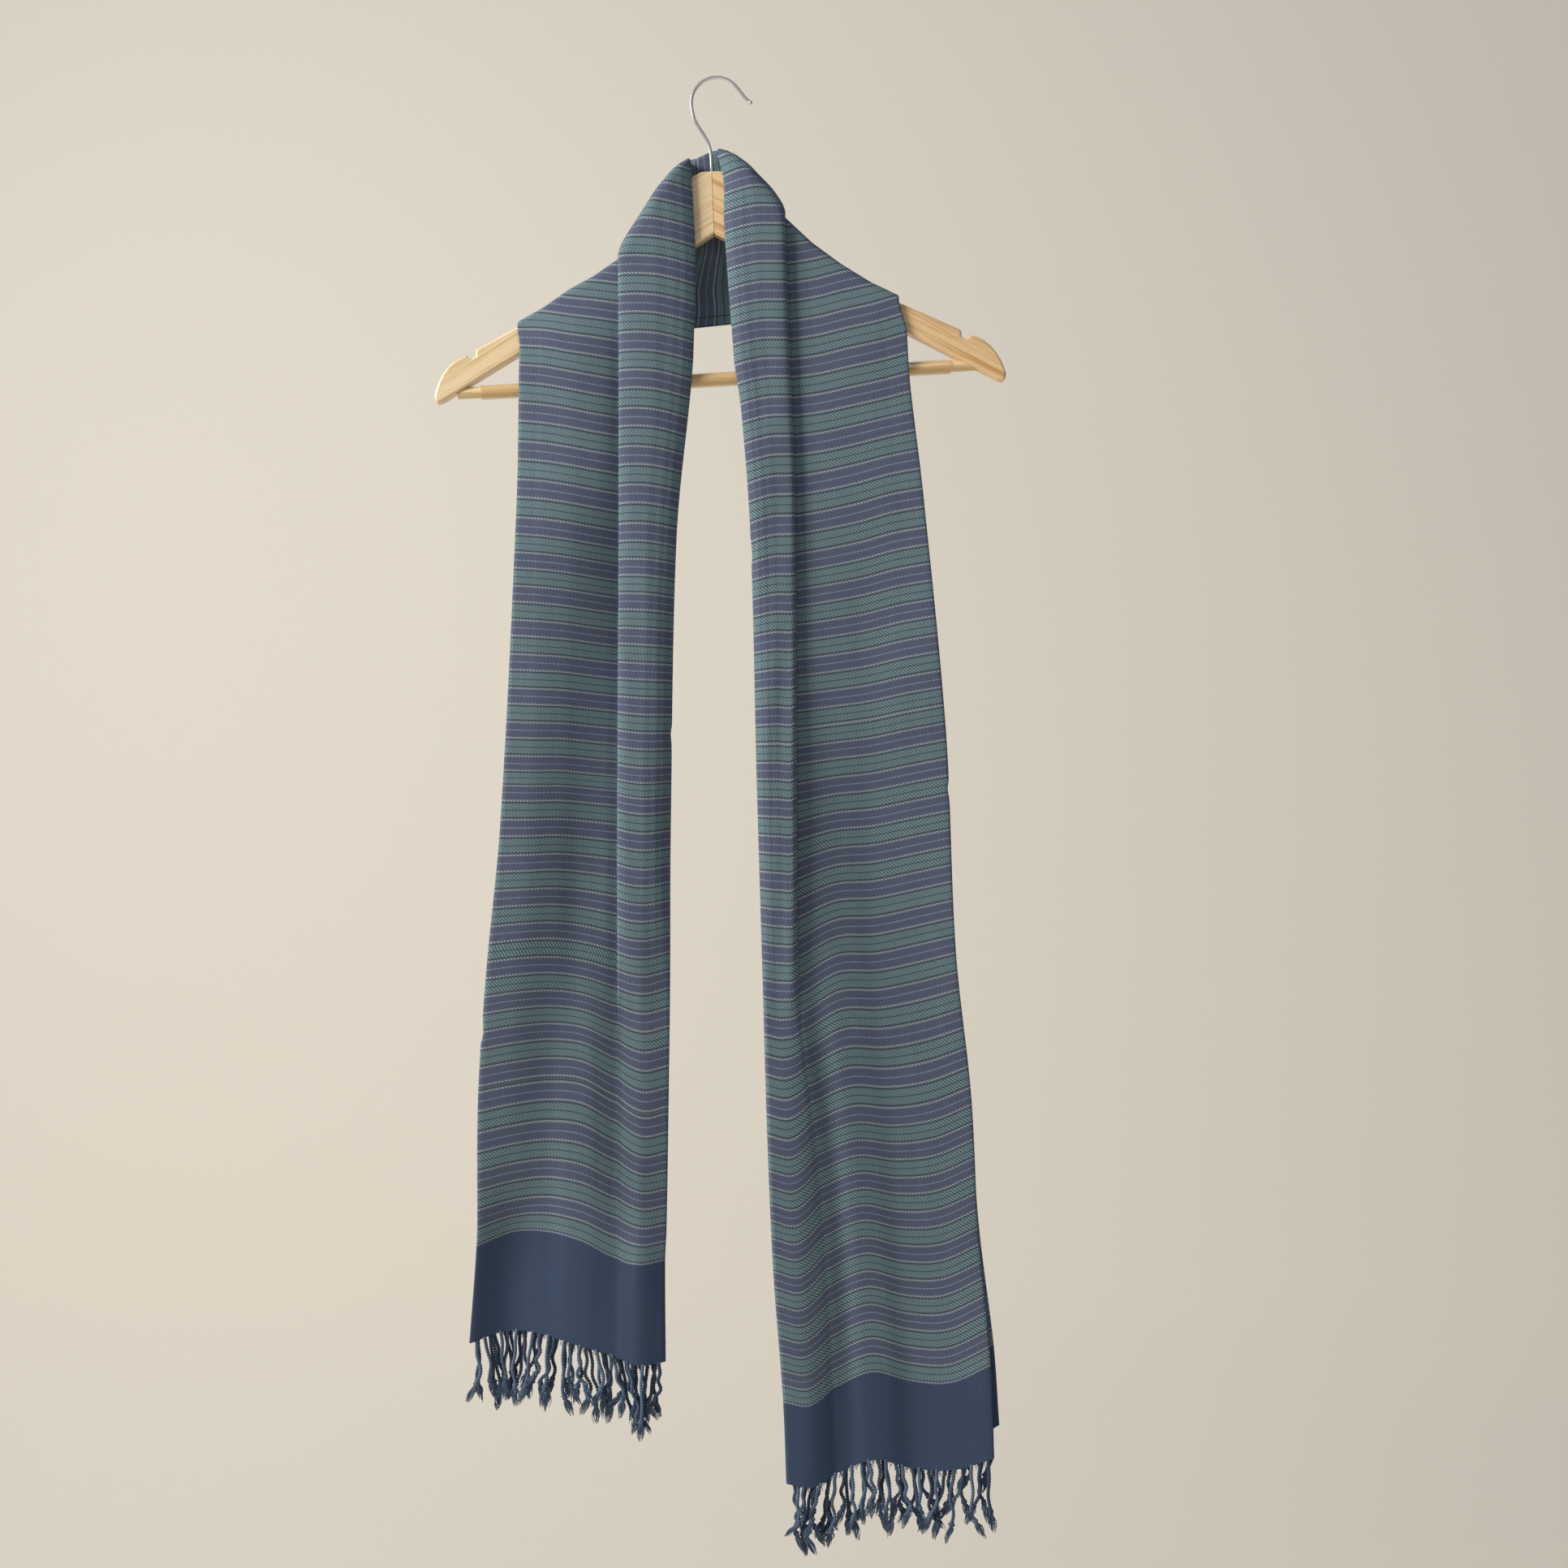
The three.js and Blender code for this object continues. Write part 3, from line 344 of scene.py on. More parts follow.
# %% The hanging ends, in millimetres
ACROSS = [0, 0.5, 1, 1.25, 1.5, 1.75, 2]
SWELL_ACROSS = [0, 0.5, 0.8, 1, 1.1, 1.2, 1.35, 1.5, 1.75, 2]
COLUMNS = ["down", "inner", "pleat", "outer", "lap", "wave", "under"]  # then the heights at ACROSS
LEFT = {
    "side": -1,
    "back_peek": 0,  # how far the back layer shows past the outer edge at the hem, and is lifted there
    "back_lift": 0,
    "nicks": [(0, 294, 1.6), (2, 530, 1.8)],  # dents in an edge: place, mm down the cloth, mm deep
    # Where the inner edge leaves a straight line from the seam (0) to the arm's top (1), in mm along +X.
    "drift": ([0, 0.5, 1], [0, 3, 0.5]),
    # How far the front stands towards the viewer: (mm down the cloth, mm at SWELL_ACROSS).
    "swell": [
        (0, [0, 0, 0, -0.4, 2, 3.6, 5, 5.6, 5, 3]),
        (77, [0, 0, 0, -0.4, 2.6, 4.8, 6.6, 7.6, 7, 5.5]),
        (158, [0, 0, 0, -0.6, 2.8, 6.2, 10.2, 13, 14.6, 14]),
        (347, [0, 0.5, 0.3, -0.4, 2, 4, 7.6, 12, 17, 18]),
        (450, [0, 1, 0.3, -0.3, 2.4, 3.6, 5.6, 10.4, 16.5, 18]),
        (545, [-2.5, 0.8, 0.3, 0.2, 2.9, 5.4, 6.2, 8, 14.5, 17.5]),
        (640, [-4, 0, 0, 0.4, 2.9, 5.3, 6.2, 5.6, 9.5, 13]),
        (705, [-2.5, 2.5, 1, -0.2, 1, 2.2, 1.8, -1, -2, 6]),
        (773, [-2, 2.5, 1, -0.2, 0.4, 1, 0, -2.5, -5, 3.5]),
    ],
    "rows": [
        [0, -21, -76, -153.5, 22, 0, -219.5, -220, -214.5, -214, -217, -214.5, -211, -209.5],
        [25, -23, -76, -154, 22, 0, -245, -244.5, -239, -238.5, -242.5, -239, -235.5, -233.5],
        [142, -34, -76, -155.5, 20, 0.05, -361.5, -359.5, -356.5, -356.5, -359, -356, -353.5, -352],
        [370, -38.5, -77, -166.5, 13, 0.2, -585, -590, -592, -588.5, -582.5, -580.5, -581, -581],
        [482, -39, -77, -177, 3, 0.45, -701.5, -702, -706, -701.5, -693.5, -689.5, -690, -693],
        [582, -40.5, -77.5, -183.5, -8, 0.7, -802, -811, -813.5, -802, -787, -784, -786.5, -791.5],
        [673, -42, -78, -185, -12, 0.9, -893, -899, -900.5, -893, -881, -876, -878, -885],
        [696, -43, -78, -186, -12, 0.95, -918.5, -921, -923, -918.5, -904.5, -898, -898, -907.5],
        [773, -42.5, -80, -192, -12, 1, -993.5, -999.5, -1001, -994.5, -986, -978, -976, -983.5],
    ],
    # Weaver's beat: (mm down the cloth, repeats counted from the seam line).
    "beat": [
        *[(0, 0.19), (24, 1), (142, 5), (324, 12), (346, 13), (537, 20)],
        *[(566, 21), (585, 21.63), (616, 22.63), (696, 25.4), (773, 28)],
    ],
}
RIGHT = {
    "side": 1,
    "back_peek": 7,
    "back_lift": 22,
    "nicks": [(0, 147, 2.2), (2, 362, 1.4)],
    "drift": ([0, 0.5, 0.7, 0.88, 1], [1.5, 3, 4, 6.5, 3]),
    "swell": [
        (0, [4.5, 0.3, 0, 0, 0.3, 0.5, 0.5, 0.5, 0.5, 0]),
        (158, [5, 0.3, 0.4, 0.8, 0.5, 0.5, 0.3, 0, 0.5, 1]),
        (345, [12.5, 8.8, 8.6, 8.5, 6, 4.4, 2.4, 0.5, 0.9, 2]),
        (450, [12.5, 11.2, 11.3, 10, 7.4, 6.3, 3.8, 0.9, 0, 1]),
        (545, [15.5, 15.2, 14.2, 11.8, 6.4, 6.4, 4, 1, 0, 0.5]),
        (640, [15, 14, 12, 9, 5.4, 6, 3.4, 0.2, -0.5, 0]),
        (737, [12, 11.5, 9, 6, 2.6, 3.6, 1.7, -2, -2.2, 0]),
        (830, [9, 9, 6, 2.6, 0.8, 2, 0.7, -3, -1.5, 2.5]),
        (871, [9, 9, 6, 2.6, 0.8, 2, 0.7, -3, -1.5, 2.5]),
    ],
    "rows": [
        [0, 13, 55, 146.5, 18, 0, -217.5, -222.5, -218, -217.5, -214, -208.5, -203.5, -197],
        [41, 19.5, 57, 149, 18, 0, -257.5, -263, -258.5, -257.5, -254.5, -249.5, -244.5, -238.5],
        [131, 27, 59.5, 159.5, 16, 0.05, -349, -354.5, -350, -349, -344.5, -339, -332, -327.5],
        [318, 32, 60, 177, 13, 0.15, -532, -543.5, -543.5, -542.5, -527.5, -524, -518, -512.5],
        [488, 37, 62.5, 184.5, 2, 0.4, -711, -713, -715, -711.5, -694.5, -693.5, -687.5, -680],
        [601, 40.5, 74.5, 196.5, -8, 0.65, -817.5, -828, -831, -817.5, -806.5, -809, -805, -793],
        [701, 45, 83.5, 202, -12, 0.85, -914.5, -927.5, -931, -914.5, -903, -910, -909.5, -896.5],
        [804, 52.5, 89, 211.5, -12, 0.95, -1017.5, -1027, -1029.5, -1017.5, -1005.5, -1014, -1015, -1000.5],
        [871, 55, 91.5, 214, -12, 1, -1084, -1090.5, -1093, -1084, -1074, -1082.5, -1083, -1073],
    ],
    "beat": [
        *[(0, 0.64), (11, 1), (162, 6), (274, 10), (315, 11.562)],
        *[(511, 18.562), (601, 21.562), (804, 29.31), (871, 31.6)],
    ],
}
ROW_STEP = 7.5


def fall_lines(fall, down):
    """Each column of the table at the given lengths of cloth, as a dict of arrays. heights has 7 columns."""
    values = curve_weights(fall["rows"][:, 0], down) @ fall["rows"]
    lines = dict(zip(COLUMNS, values.T))
    lines["heights"] = values[:, len(COLUMNS) :]
    lines["share"] = clamp(down / fall["rows"][-1, 0])
    return lines


for fall in (LEFT, RIGHT):
    fall["rows"] = np.array(fall["rows"])
    print("an end hangs", fall["rows"][-1, 0], "mm below the shoulder")

# %% [markdown]
# The cross-section is one line through the whole strip, from one hemmed edge to the other: layer 1, a
# fold, layer 2, a fold, the front with its knife pleat, the inner edge that wraps the stack, and layer 0 at
# the back. Each station is a place across and a level in the stack. Where the pleat dies out, its
# stations slide apart into a soft wave.

# %% The folded cross-section
LAYER_PITCH, FIRST_LAYER = 0.74, 0.5  # from layer to layer, and from the hanger's side to the first, in mm
HEM_SPREAD = 0.9  # how much wider the pitch is at the hem, as a share
TURN_DEPTH = 6.4  # from the middle of the boards to the cloth's inner side
FOLD_ROUND, WRAP_ROUND = 0.7, 1.7  # radii of a fold and of the edge that wraps the stack
PLEAT_CLOSES = 6  # the lap from which the pleat lies folded
ROLL_STARTS, ROLL_FULL = 1, 14  # laps between which the puffed roll grows to its full size


def layer_height(level, spread):
    """Height of a level above the hanger's side, in mm. spread loosens the layers near the hem."""
    return FIRST_LAYER + level * LAYER_PITCH * (1 + spread)


def fold_stations(lap, panel_width, outer_width, peek):
    """Stations of each row, from the first hem edge to the last: where each is across the strip (rows x
    stations), its level where the pleat is folded, its level where it is open, how many levels the puffed
    roll adds, how far it follows the weft below the pleat, and the columns to the next station."""
    folded = clamp(lap / PLEAT_CLOSES)
    lap_share = np.maximum(lap, 0) / panel_width
    open_share = np.maximum(-lap, 2) / outer_width
    bend, wrap = FOLD_ROUND / panel_width, WRAP_ROUND / panel_width
    tuck_end, mid_tuck = 1 - lap_share, 1 - 0.5 * lap_share

    def pleat(when_folded, when_open):
        """A station's place where the pleat is folded, or beyond its edge where it is open."""
        return mix(1 + open_share * when_open, when_folded, folded)

    rows = [
        (1.95, 1, 1, 0, 0, 13),
        (0.09, 1, 1, 0, 0, 1),
        (0.09 - bend, 1.5, 1.5, 0, 0, 1),
        (0.09, 2, 2, 0, 0, 13),
        (1.985, 2, 2, 0, 0, 1),
        (1.996, 2.2, 2.2, 0, 0, 1),
        (2.0, 2.5, 2.5, 0, 0, 1),
        (1.996, 2.8, 2.8, 0, 0, 1),
        (1.985, 3, 3, 0, 1, 2),
        (1.93, 3.06, 3.06, 0, 1, 32),
        (pleat(1.06, 1.9), 3, 3, 0, 1, 2),
        (pleat(1.0, 1.6), 3, 3, 0, 1, 2),
        (pleat(mid_tuck, 1.3), 3, 3, 0, 1, 3),
        (pleat(tuck_end, 1.0), 3, 3, 0, 1, 1),
        (pleat(tuck_end - bend, 0.8), 3.5, 3, 0, 1, 1),
        (pleat(tuck_end, 0.6), 3.95, 3, 0, 1, 3),
        (pleat(mid_tuck, 0.5), 4.0, 3, 0.5, 0.5, 2),
        (pleat(0.965, 0.42), 4.0, 3, 0.4, 0.1, 1),
        (pleat(0.988, 0.34), 4.1, 3, 0.8, 0, 1),
        (pleat(1.004, 0.26), 4.6, 3, 1.6, 0, 1),
        (pleat(1.008, 0.18), 5.3, 3, 2.6, 0, 1),
        (pleat(1.0, 0.1), 5.9, 3, 3.7, 0, 1),
        (pleat(0.982, 0.04), 6.3, 3, 4.6, 0, 1),
        (0.955, 6.5, 3, 5.2, 0, 2),
        (0.88, 6.4, 3, 6.0, 0, 3),
        (0.74, 6.0, 3, 6.5, 0, 5),
        (0.5, 5.2, 3, 7.4, 0, 5),
        (0.28, 4.4, 3, 6.4, 0, 4),
        (0.12, 3.9, 3, 4.2, 0, 3),
        (0.04, 3.6, 3, 2.0, 0, 2),
        (0.0, 3.4, 2.9, 0.6, 0, 1),
        (-0.55 * wrap, 3.0, 2.5, 0.3, 0, 1),
        (-0.9 * wrap, 2.4, 2.0, 0, 0, 1),
        (-wrap, 1.6, 1.4, 0, 0, 1),
        (-0.85 * wrap, 0.7, 0.7, 0, 0, 1),
        (-0.45 * wrap, 0.15, 0.15, 0, 0, 1),
        (0.0, 0, 0, 0, 0, 34),
        (1.98 + peek / outer_width, 0, 0, 0, 0, 0),
    ]
    place, *others = zip(*rows)
    return np.stack(np.broadcast_arrays(*place), axis=1), *(np.array(other) for other in others)


def folded_columns(lap, panel_width, outer_width, peek):
    """Place, level and weft share at every column of the mesh. Between two stations the place runs straight,
    and the level eases in and out, which rounds the soft steps."""
    place, when_folded, when_open, roll, below, columns = fold_stations(lap, panel_width, outer_width, peek)
    at = np.concatenate([i + np.arange(n) / n for i, n in enumerate(columns) if n] + [[len(columns) - 1]])
    low = np.minimum(at.astype(int), len(columns) - 2)
    share = at - low
    folded = clamp(lap / PLEAT_CLOSES)[:, None]
    full = clamp((lap - ROLL_STARTS) / (ROLL_FULL - ROLL_STARTS))[:, None]
    level = mix(when_open, when_folded, folded) + full * roll
    soft = share * share * (3 - 2 * share)
    return (
        mix(place[:, low], place[:, low + 1], share),
        mix(level[:, low], level[:, low + 1], mix(share, soft, 0.5)),
        mix(below[low], below[low + 1], share),
    )


_, test_level, _ = folded_columns(*np.array([[20.0], [53.0], [77.0], [0.0]]))
print("columns across the strip:", test_level.shape[1], "highest level:", test_level.max())

# %% [markdown]
# The cross-section is then placed. On a hanging end a place across gives x and, along its weft line, z;
# the level gives y, towards the viewer. Waves grow towards the hem. A real cloth also keeps marks of how it
# was stored: a faint crease beside the outer edge and small dents where it was folded across.

# %% Place the hanging ends
NICK_HALF_LENGTH, NICK_REACH = 5, 0.12
CREASE_PLACE, CREASE_WIDTH, CREASE_DEPTH, CREASE_FADES = 1.82, 0.03, 0.45, 500
UNEVENNESS, UNEVEN_ACROSS, UNEVEN_DOWN, UNEVEN_SLOW = 0.35, 8.3, 37, 71
SWELL_FROM, MARKS_FROM, ALL_SWELLS = 0.4, 2.6, 2.6  # levels, and how many more until the whole swell shows
CORNER_FROM, DRIFT_FADES = 1.4, 140  # the place where the back's lift starts, and mm down the cloth


def place_across(lines, place):
    """x of a place: straight from the inner edge to the pleat, then straight to the outer edge."""
    inner, pleat, outer = (lines[key][:, None] for key in ("inner", "pleat", "outer"))
    return np.where(place < 1, mix(inner, pleat, place), mix(pleat, outer, place - 1))


def weft_height(lines, place, below):
    """z of a place: a smooth curve through the heights, for the front where below is 0, and for the layer
    under the pleat where it is 1. That layer's own curve runs straight on below the pleat."""
    weights = curve_weights(ACROSS, place)
    front = lines["heights"]
    folded = clamp(lines["lap"] / PLEAT_CLOSES)
    under = front.copy()
    under[:, 2] = lines["under"]
    under[:, 1] = mix(under[:, 1], 3 * under[:, 2] - 2 * under[:, 3], folded)
    return mix(*(np.einsum("rck,rk->rc", weights, heights) for heights in (front, under)), below)


def front_relief(fall, down, place, level, wave=0.0):
    """How far a point stands out beyond its level, in mm towards the viewer. The front layer has the whole
    swell and the back layer only the wave that all layers share. A pressed crease runs near the outer edge."""
    lengths, swell = zip(*fall["swell"])
    swell = curve_weights(lengths, down) @ np.array(swell, float)
    whole = np.einsum("rck,rk->rc", curve_weights(SWELL_ACROSS, np.clip(place, 0, 2)), swell)
    front = clamp((level - SWELL_FROM) / ALL_SWELLS)
    down = down[:, None]
    crease = np.exp(-(((place - CREASE_PLACE) / CREASE_WIDTH) ** 2)) * clamp(1.2 - down / CREASE_FADES)
    uneven = np.sin(place * UNEVEN_ACROSS + down / UNEVEN_DOWN + fall["side"])
    uneven = uneven * np.sin(down / UNEVEN_SLOW + 1.3 * fall["side"])
    marks = UNEVENNESS * uneven - CREASE_DEPTH * crease
    return whole * mix(wave, 1.0, front) + clamp(level - MARKS_FROM) * marks


def hanging_end(fall):
    """Points (rows x columns x 3) from the shoulder seam down to the hem, with their places and levels."""
    length = fall["rows"][-1, 0]
    down = np.linspace(0, length, int(round(length / ROW_STEP)) + 1)
    lines = fall_lines(fall, down)
    panel, outer = abs(lines["pleat"] - lines["inner"]), abs(lines["outer"] - lines["pleat"])
    place, level, below = folded_columns(lines["lap"], panel, outer, fall["back_peek"] * lines["share"] ** 4)
    height = layer_height(level, HEM_SPREAD * lines["share"][:, None] ** 2)
    wave = clamp(lines["wave"])[:, None]
    corner = np.where(level < 0.5, np.clip((place - CORNER_FROM) / (2 - CORNER_FROM), 0, 1.1), 0)
    z = weft_height(lines, place, below) + fall["back_lift"] * corner * lines["share"][:, None] ** 6
    fade = clamp(1 - down / DRIFT_FADES)[:, None] ** 2 * clamp(1 - place)
    x = place_across(lines, place) + fall["drift"][1][0] * fade
    for edge, at, depth in fall["nicks"]:
        near = np.exp(-(((down[:, None] - at) / NICK_HALF_LENGTH) ** 2))
        near = near * clamp(1 - abs(place - edge) / NICK_REACH)
        x = x - fall["side"] * (1 if edge == 2 else -1) * depth * near
    y = -TURN_DEPTH - height - front_relief(fall, down, place, level, wave)
    return np.stack([x, y, z], axis=-1), place, level, down


left_end, left_place, left_level, left_down = hanging_end(LEFT)
right_end, right_place, right_level, right_down = hanging_end(RIGHT)
print("rows x columns:", left_end.shape[:2], right_end.shape[:2])

# %% [markdown]
# Between the two ends the strip climbs to the top edge of an arm, turns over it, runs behind the
# hanger's neck and comes back over the other arm. The line along which it lies on each arm is a table
# again: x, and the height of its underside. Over the arm the section follows a squarish ellipse, as cloth
# does over a 12 mm board with eased corners.

# %% Place the neck and the shoulders
RIDGE_ACROSS = [0, 0.2, 0.4, 0.6, 0.8, 1, 1.25, 1.5, 1.75, 2]
LEFT["ridge_x"] = [-23.5, -34, -45, -55.5, -66, -76.5, -96.5, -116, -135.5, -155.5]
LEFT["ridge_z"] = [-67, -79, -94.5, -111.5, -128, -144, -158, -168.5, -182.3, -193.5]
RIGHT["ridge_x"] = [-2, 9, 19.5, 30, 40.5, 51.5, 73.5, 95.5, 118.5, 140.5]
RIGHT["ridge_z"] = [-59.5, -68, -77.5, -88.5, -98.5, -112, -132.5, -148.5, -162.6, -173]
TURN_ACROSS, TURN_RISE, TURN_STEEP = [0, 0.6, 2], [1, 4, 4], [1, 1.3, 1.15]
TURN_SQUARENESS = 0.7
BACK_LIFT = [7.2, 2, -4]  # how far the strip bows up behind the neck at places 0, 1 and 2, in mm
RIM_POWER = 0.05  # at place 0 the bow rises at once, so that the rim runs level
RIM_OVERLAP = 2.2  # how far the rim behind the neck starts behind the left tip
PANEL_WIDTH, OUTER_WIDTH = 53, 77
FRONT_ROWS, TURN_ROWS, BACK_ROWS = 22, 12, 34
NECK_LENGTH = 380


def on_ridge(fall, key, place):
    """The arm's table at a place: straight lines between its points, also past its ends."""
    xs, ys = np.array(RIDGE_ACROSS), np.array(fall[key])
    i = np.clip(np.searchsorted(xs, place) - 1, 0, len(xs) - 2)
    return mix(ys[i], ys[i + 1], (place - xs[i]) / (xs[i + 1] - xs[i]))


def springing(fall, place):
    """Height at which the cloth starts to turn over the arm."""
    return on_ridge(fall, "ridge_z", np.maximum(place, 0)) - smooth(TURN_ACROSS, TURN_RISE, np.clip(place, 0, 2))


def shoulder(fall, lap_from, lap_to):
    """Points from the seam line up the front and over the arm to the back, rows x columns x 3."""
    rows = FRONT_ROWS + TURN_ROWS
    step = np.arange(rows)
    lap = mix(lap_from, lap_to, step / rows)
    climb = clamp(step / FRONT_ROWS)
    seam = fall_lines(fall, np.zeros(rows))
    panel = mix(abs(seam["pleat"] - seam["inner"]), PANEL_WIDTH, climb)
    outer = mix(abs(seam["outer"] - seam["pleat"]), OUTER_WIDTH, climb)
    place, level, below = folded_columns(lap, panel, outer, 0 * lap)
    depth = TURN_DEPTH + layer_height(level, 0)
    start = springing(fall, place)
    share = climb[:, None]
    drift = smooth(*fall["drift"], climb)[:, None] * clamp(1 - place)
    x = mix(place_across(seam, place), on_ridge(fall, "ridge_x", place), share) + drift
    z = mix(weft_height(seam, place, below), start, share)
    relief = front_relief(fall, 0.0 * step, place, level) * (1 - share)
    angle = np.pi * clamp((step - FRONT_ROWS) / (TURN_ROWS - 1))[:, None]
    cosine, sine = np.cos(angle), np.sin(angle)
    y = -depth * np.sign(cosine) * abs(cosine) ** TURN_SQUARENESS - relief
    within = np.clip(place, 0, 2)
    rise = smooth(TURN_ACROSS, TURN_RISE, within) + (depth - TURN_DEPTH) * smooth(TURN_ACROSS, TURN_STEEP, within)
    z = z + rise * clamp(sine) ** TURN_SQUARENESS
    return np.stack([x, y, z], axis=-1)


def neck_back(lap):
    """Points behind the hanger from the left arm to the right one, rows x columns x 3."""
    across = (np.arange(1, BACK_ROWS) / BACK_ROWS)[:, None]
    widths = np.array([lap, PANEL_WIDTH, OUTER_WIDTH, 0])[:, None] * np.ones(BACK_ROWS - 1)
    place, level, _ = folded_columns(*widths)
    ease = across * across * (3 - 2 * across)
    power = mix(RIM_POWER, 1.0, clamp(place * 4))
    bow = smooth([0, 1, 2], BACK_LIFT, place) * np.sin(np.pi * across) ** power
    ends = [
        on_ridge(fall, "ridge_x", place) + smooth(*fall["drift"], 1.0) * clamp(1 - place) for fall in (LEFT, RIGHT)
    ]
    x = mix(*ends, across) - RIM_OVERLAP * clamp(1 - across / 0.2) * clamp(1 - place * 6)
    z = mix(springing(LEFT, place), springing(RIGHT, place), ease) + bow
    return np.stack([x, TURN_DEPTH + layer_height(level, 0), z], axis=-1)


seam_laps = [fall["rows"][0, COLUMNS.index("lap")] for fall in (LEFT, RIGHT)]
middle_lap = sum(seam_laps) / 2
left_shoulder = shoulder(LEFT, seam_laps[0], middle_lap)
right_shoulder = shoulder(RIGHT, seam_laps[1], middle_lap)
back = neck_back(middle_lap)
print("neck rows:", len(left_shoulder), len(back), len(right_shoulder))

# %% [markdown]
# All the rows are joined into one grid, from the left hem over the neck to the right hem. Each column's
# length over each shoulder is measured, so that the stripes keep their spacing there, and behind the neck
# what is left of it is shared out evenly.

# %% Join the rows and give the cloth its thickness
CLOTH_THICKNESS = 0.45
RIGHT_OFFSET = 12  # whole repeats between the two counts


def beat_count(fall, down):
    """Repeats counted from the seam line, at each length of cloth below it."""
    lengths, counts = zip(*fall["beat"])
    return np.interp(down, lengths, counts)


left_length = LEFT["rows"][-1, 0]
left_climb, right_climb = length_along(left_shoulder), length_along(right_shoulder)
share = (np.arange(1, BACK_ROWS) / BACK_ROWS)[:, None]
full = np.ones(left_end.shape[1])
along = left_length + np.concatenate(
    [
        -left_down[::-1, None] * full,
        left_climb[1:],
        mix(left_climb[-1], NECK_LENGTH - right_climb[-1], share),
        NECK_LENGTH - right_climb[:0:-1],
        NECK_LENGTH + right_down[:, None] * full,
    ]
)
neck_share = (along - left_length) / NECK_LENGTH
left_count = beat_count(LEFT, left_length - along)  # past the seam it stays at the seam's count
right_count = -RIGHT_OFFSET - beat_count(RIGHT, along - left_length - NECK_LENGTH)
counts = mix(left_count, right_count, clamp(neck_share))

points = np.concatenate([left_end[::-1], left_shoulder[1:], back, right_shoulder[:0:-1], right_end])
across = length_along(points.swapaxes(0, 1)).T
from_edge = np.minimum(across, across[:, -1:] - across)
pleat_column = int(np.argmax(left_level[0]))
across_cut = (across - across[:, pleat_column : pleat_column + 1] + across[:, pleat_column].mean()) * MM
first, last = len(left_end) - 1, len(points) - len(right_end)
neck_rows = np.linspace(0, 1, last - first + 1)[:, None]
across_cut[first : last + 1] = mix(across_cut[first], across_cut[last], neck_rows)

cloth = mesh_piece("stole_cloth", points.reshape(-1, 3), grid_quads(*points.shape[:2]), cloth_twill)
loops = np.empty(len(cloth.data.loops), int)
cloth.data.loops.foreach_get("vertex_index", loops)
uv_points = np.stack([across_cut, along * MM], axis=-1).reshape(-1, 2)
cloth.data.uv_layers.new(name="warp_and_weft").data.foreach_set("uv", uv_points[loops].astype(np.float32).ravel())
ends = np.empty(2 * len(cloth.data.edges), int)
cloth.data.edges.foreach_get("vertices", ends)
on_rim = np.zeros(len(cloth.data.edges), bool)
for index, count in zip(np.divmod(ends.reshape(-1, 2), points.shape[1]), points.shape):
    on_rim |= np.all((index == 0) | (index == count - 1), axis=1)
cloth.data.edges.foreach_set("use_edge_sharp", on_rim)  # so that the cut edge shades crisply
point_attribute(cloth.data, "beat", counts)
point_attribute(cloth.data, "from_edge", from_edge * MM)
thicken = cloth.modifiers.new("thickness", "SOLIDIFY")
thicken.thickness, thicken.offset = CLOTH_THICKNESS * MM, 0
thicken.use_even_offset = False
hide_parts("stole_left_fall", "stole_neck", "stole_right_fall")
print("cloth:", points.shape[:2], "rows x columns, cut length", round(float(along.max()), 1), "mm")

# %% [markdown]
# ## The fringe
#
# The warp ends are twisted in pairs into cords about 2 mm thick, knotted, and cut so that a tuft of loose
# threads is left. A cord is two plies that wind round each other: each ply is a tube whose middle goes round
# the cord's line, half a turn apart. The line itself hangs from the hem and wriggles, because the twist
# springs back. A knot is the same two plies, fatter and further apart.

# %% Twisted fringe yarn
fringe_yarn, add, shader = new_material(
    "twisted_cotton_yarn", Roughness=0.92, Sheen_Weight=0.2, Sheen_Roughness=0.45, Sheen_Tint="9fb0c8"
)
strand_shade = add("Attribute", attribute_name="strand_shade").outputs["Fac"]
yarn = add("ValToRGB", strand_shade, stops=[(0.0, "35445c"), (0.5, "4a5d78"), (1.0, "6c839e")])
lint = add("TexNoise", Vector=add("TexCoord").outputs["Object"], Scale=1400.0, Detail=2.0)
lint_share = add("MULTIPLY", lint, 0.45)
yarn = add("Mix", lint_share, data_type="RGBA", in6=yarn, in7="26344c").outputs[2]
feed(shader.inputs["Base Color"], yarn)
feed(shader.inputs["Normal"], add("Bump", Strength=0.5, Distance=0.15 * MM, Height=lint))
print(fringe_yarn.name, "is ready")

# %% Where the strands grow
STRANDS_EACH = 12  # in each of the four layers
STAGGER = [0.3, 0.8, 0.3, 0.8]  # where a layer's first strand stands, as a share of the spacing
STRAND_LENGTH = (40, 60)


def scatter(counter):
    """The same scattered number from 0 to 1 for the same counter, each run."""
    wave = np.sin(np.asarray(counter, float) * 12.9898 + 4.1) * 43758.5453
    return wave - np.floor(wave)


def hem_roots(hem, level, place):
    """Where the strands leave the hem: evenly along each of the four layers, strands x 3."""
    roots = []
    for layer, stagger in enumerate(STAGGER):
        on_layer = level > 2.9 if layer == 3 else abs(level - layer) < 0.1
        line = hem[on_layer & (place >= -0.001)]
        line = line[np.argsort(line[:, 0])]
        steps = length_along(line[:, None])[:, 0]
        at = (np.arange(STRANDS_EACH) + stagger) / STRANDS_EACH * steps[-1]
        roots.append(np.stack([np.interp(at, steps, line[:, k]) for k in range(3)], axis=-1))
    return np.concatenate(roots)


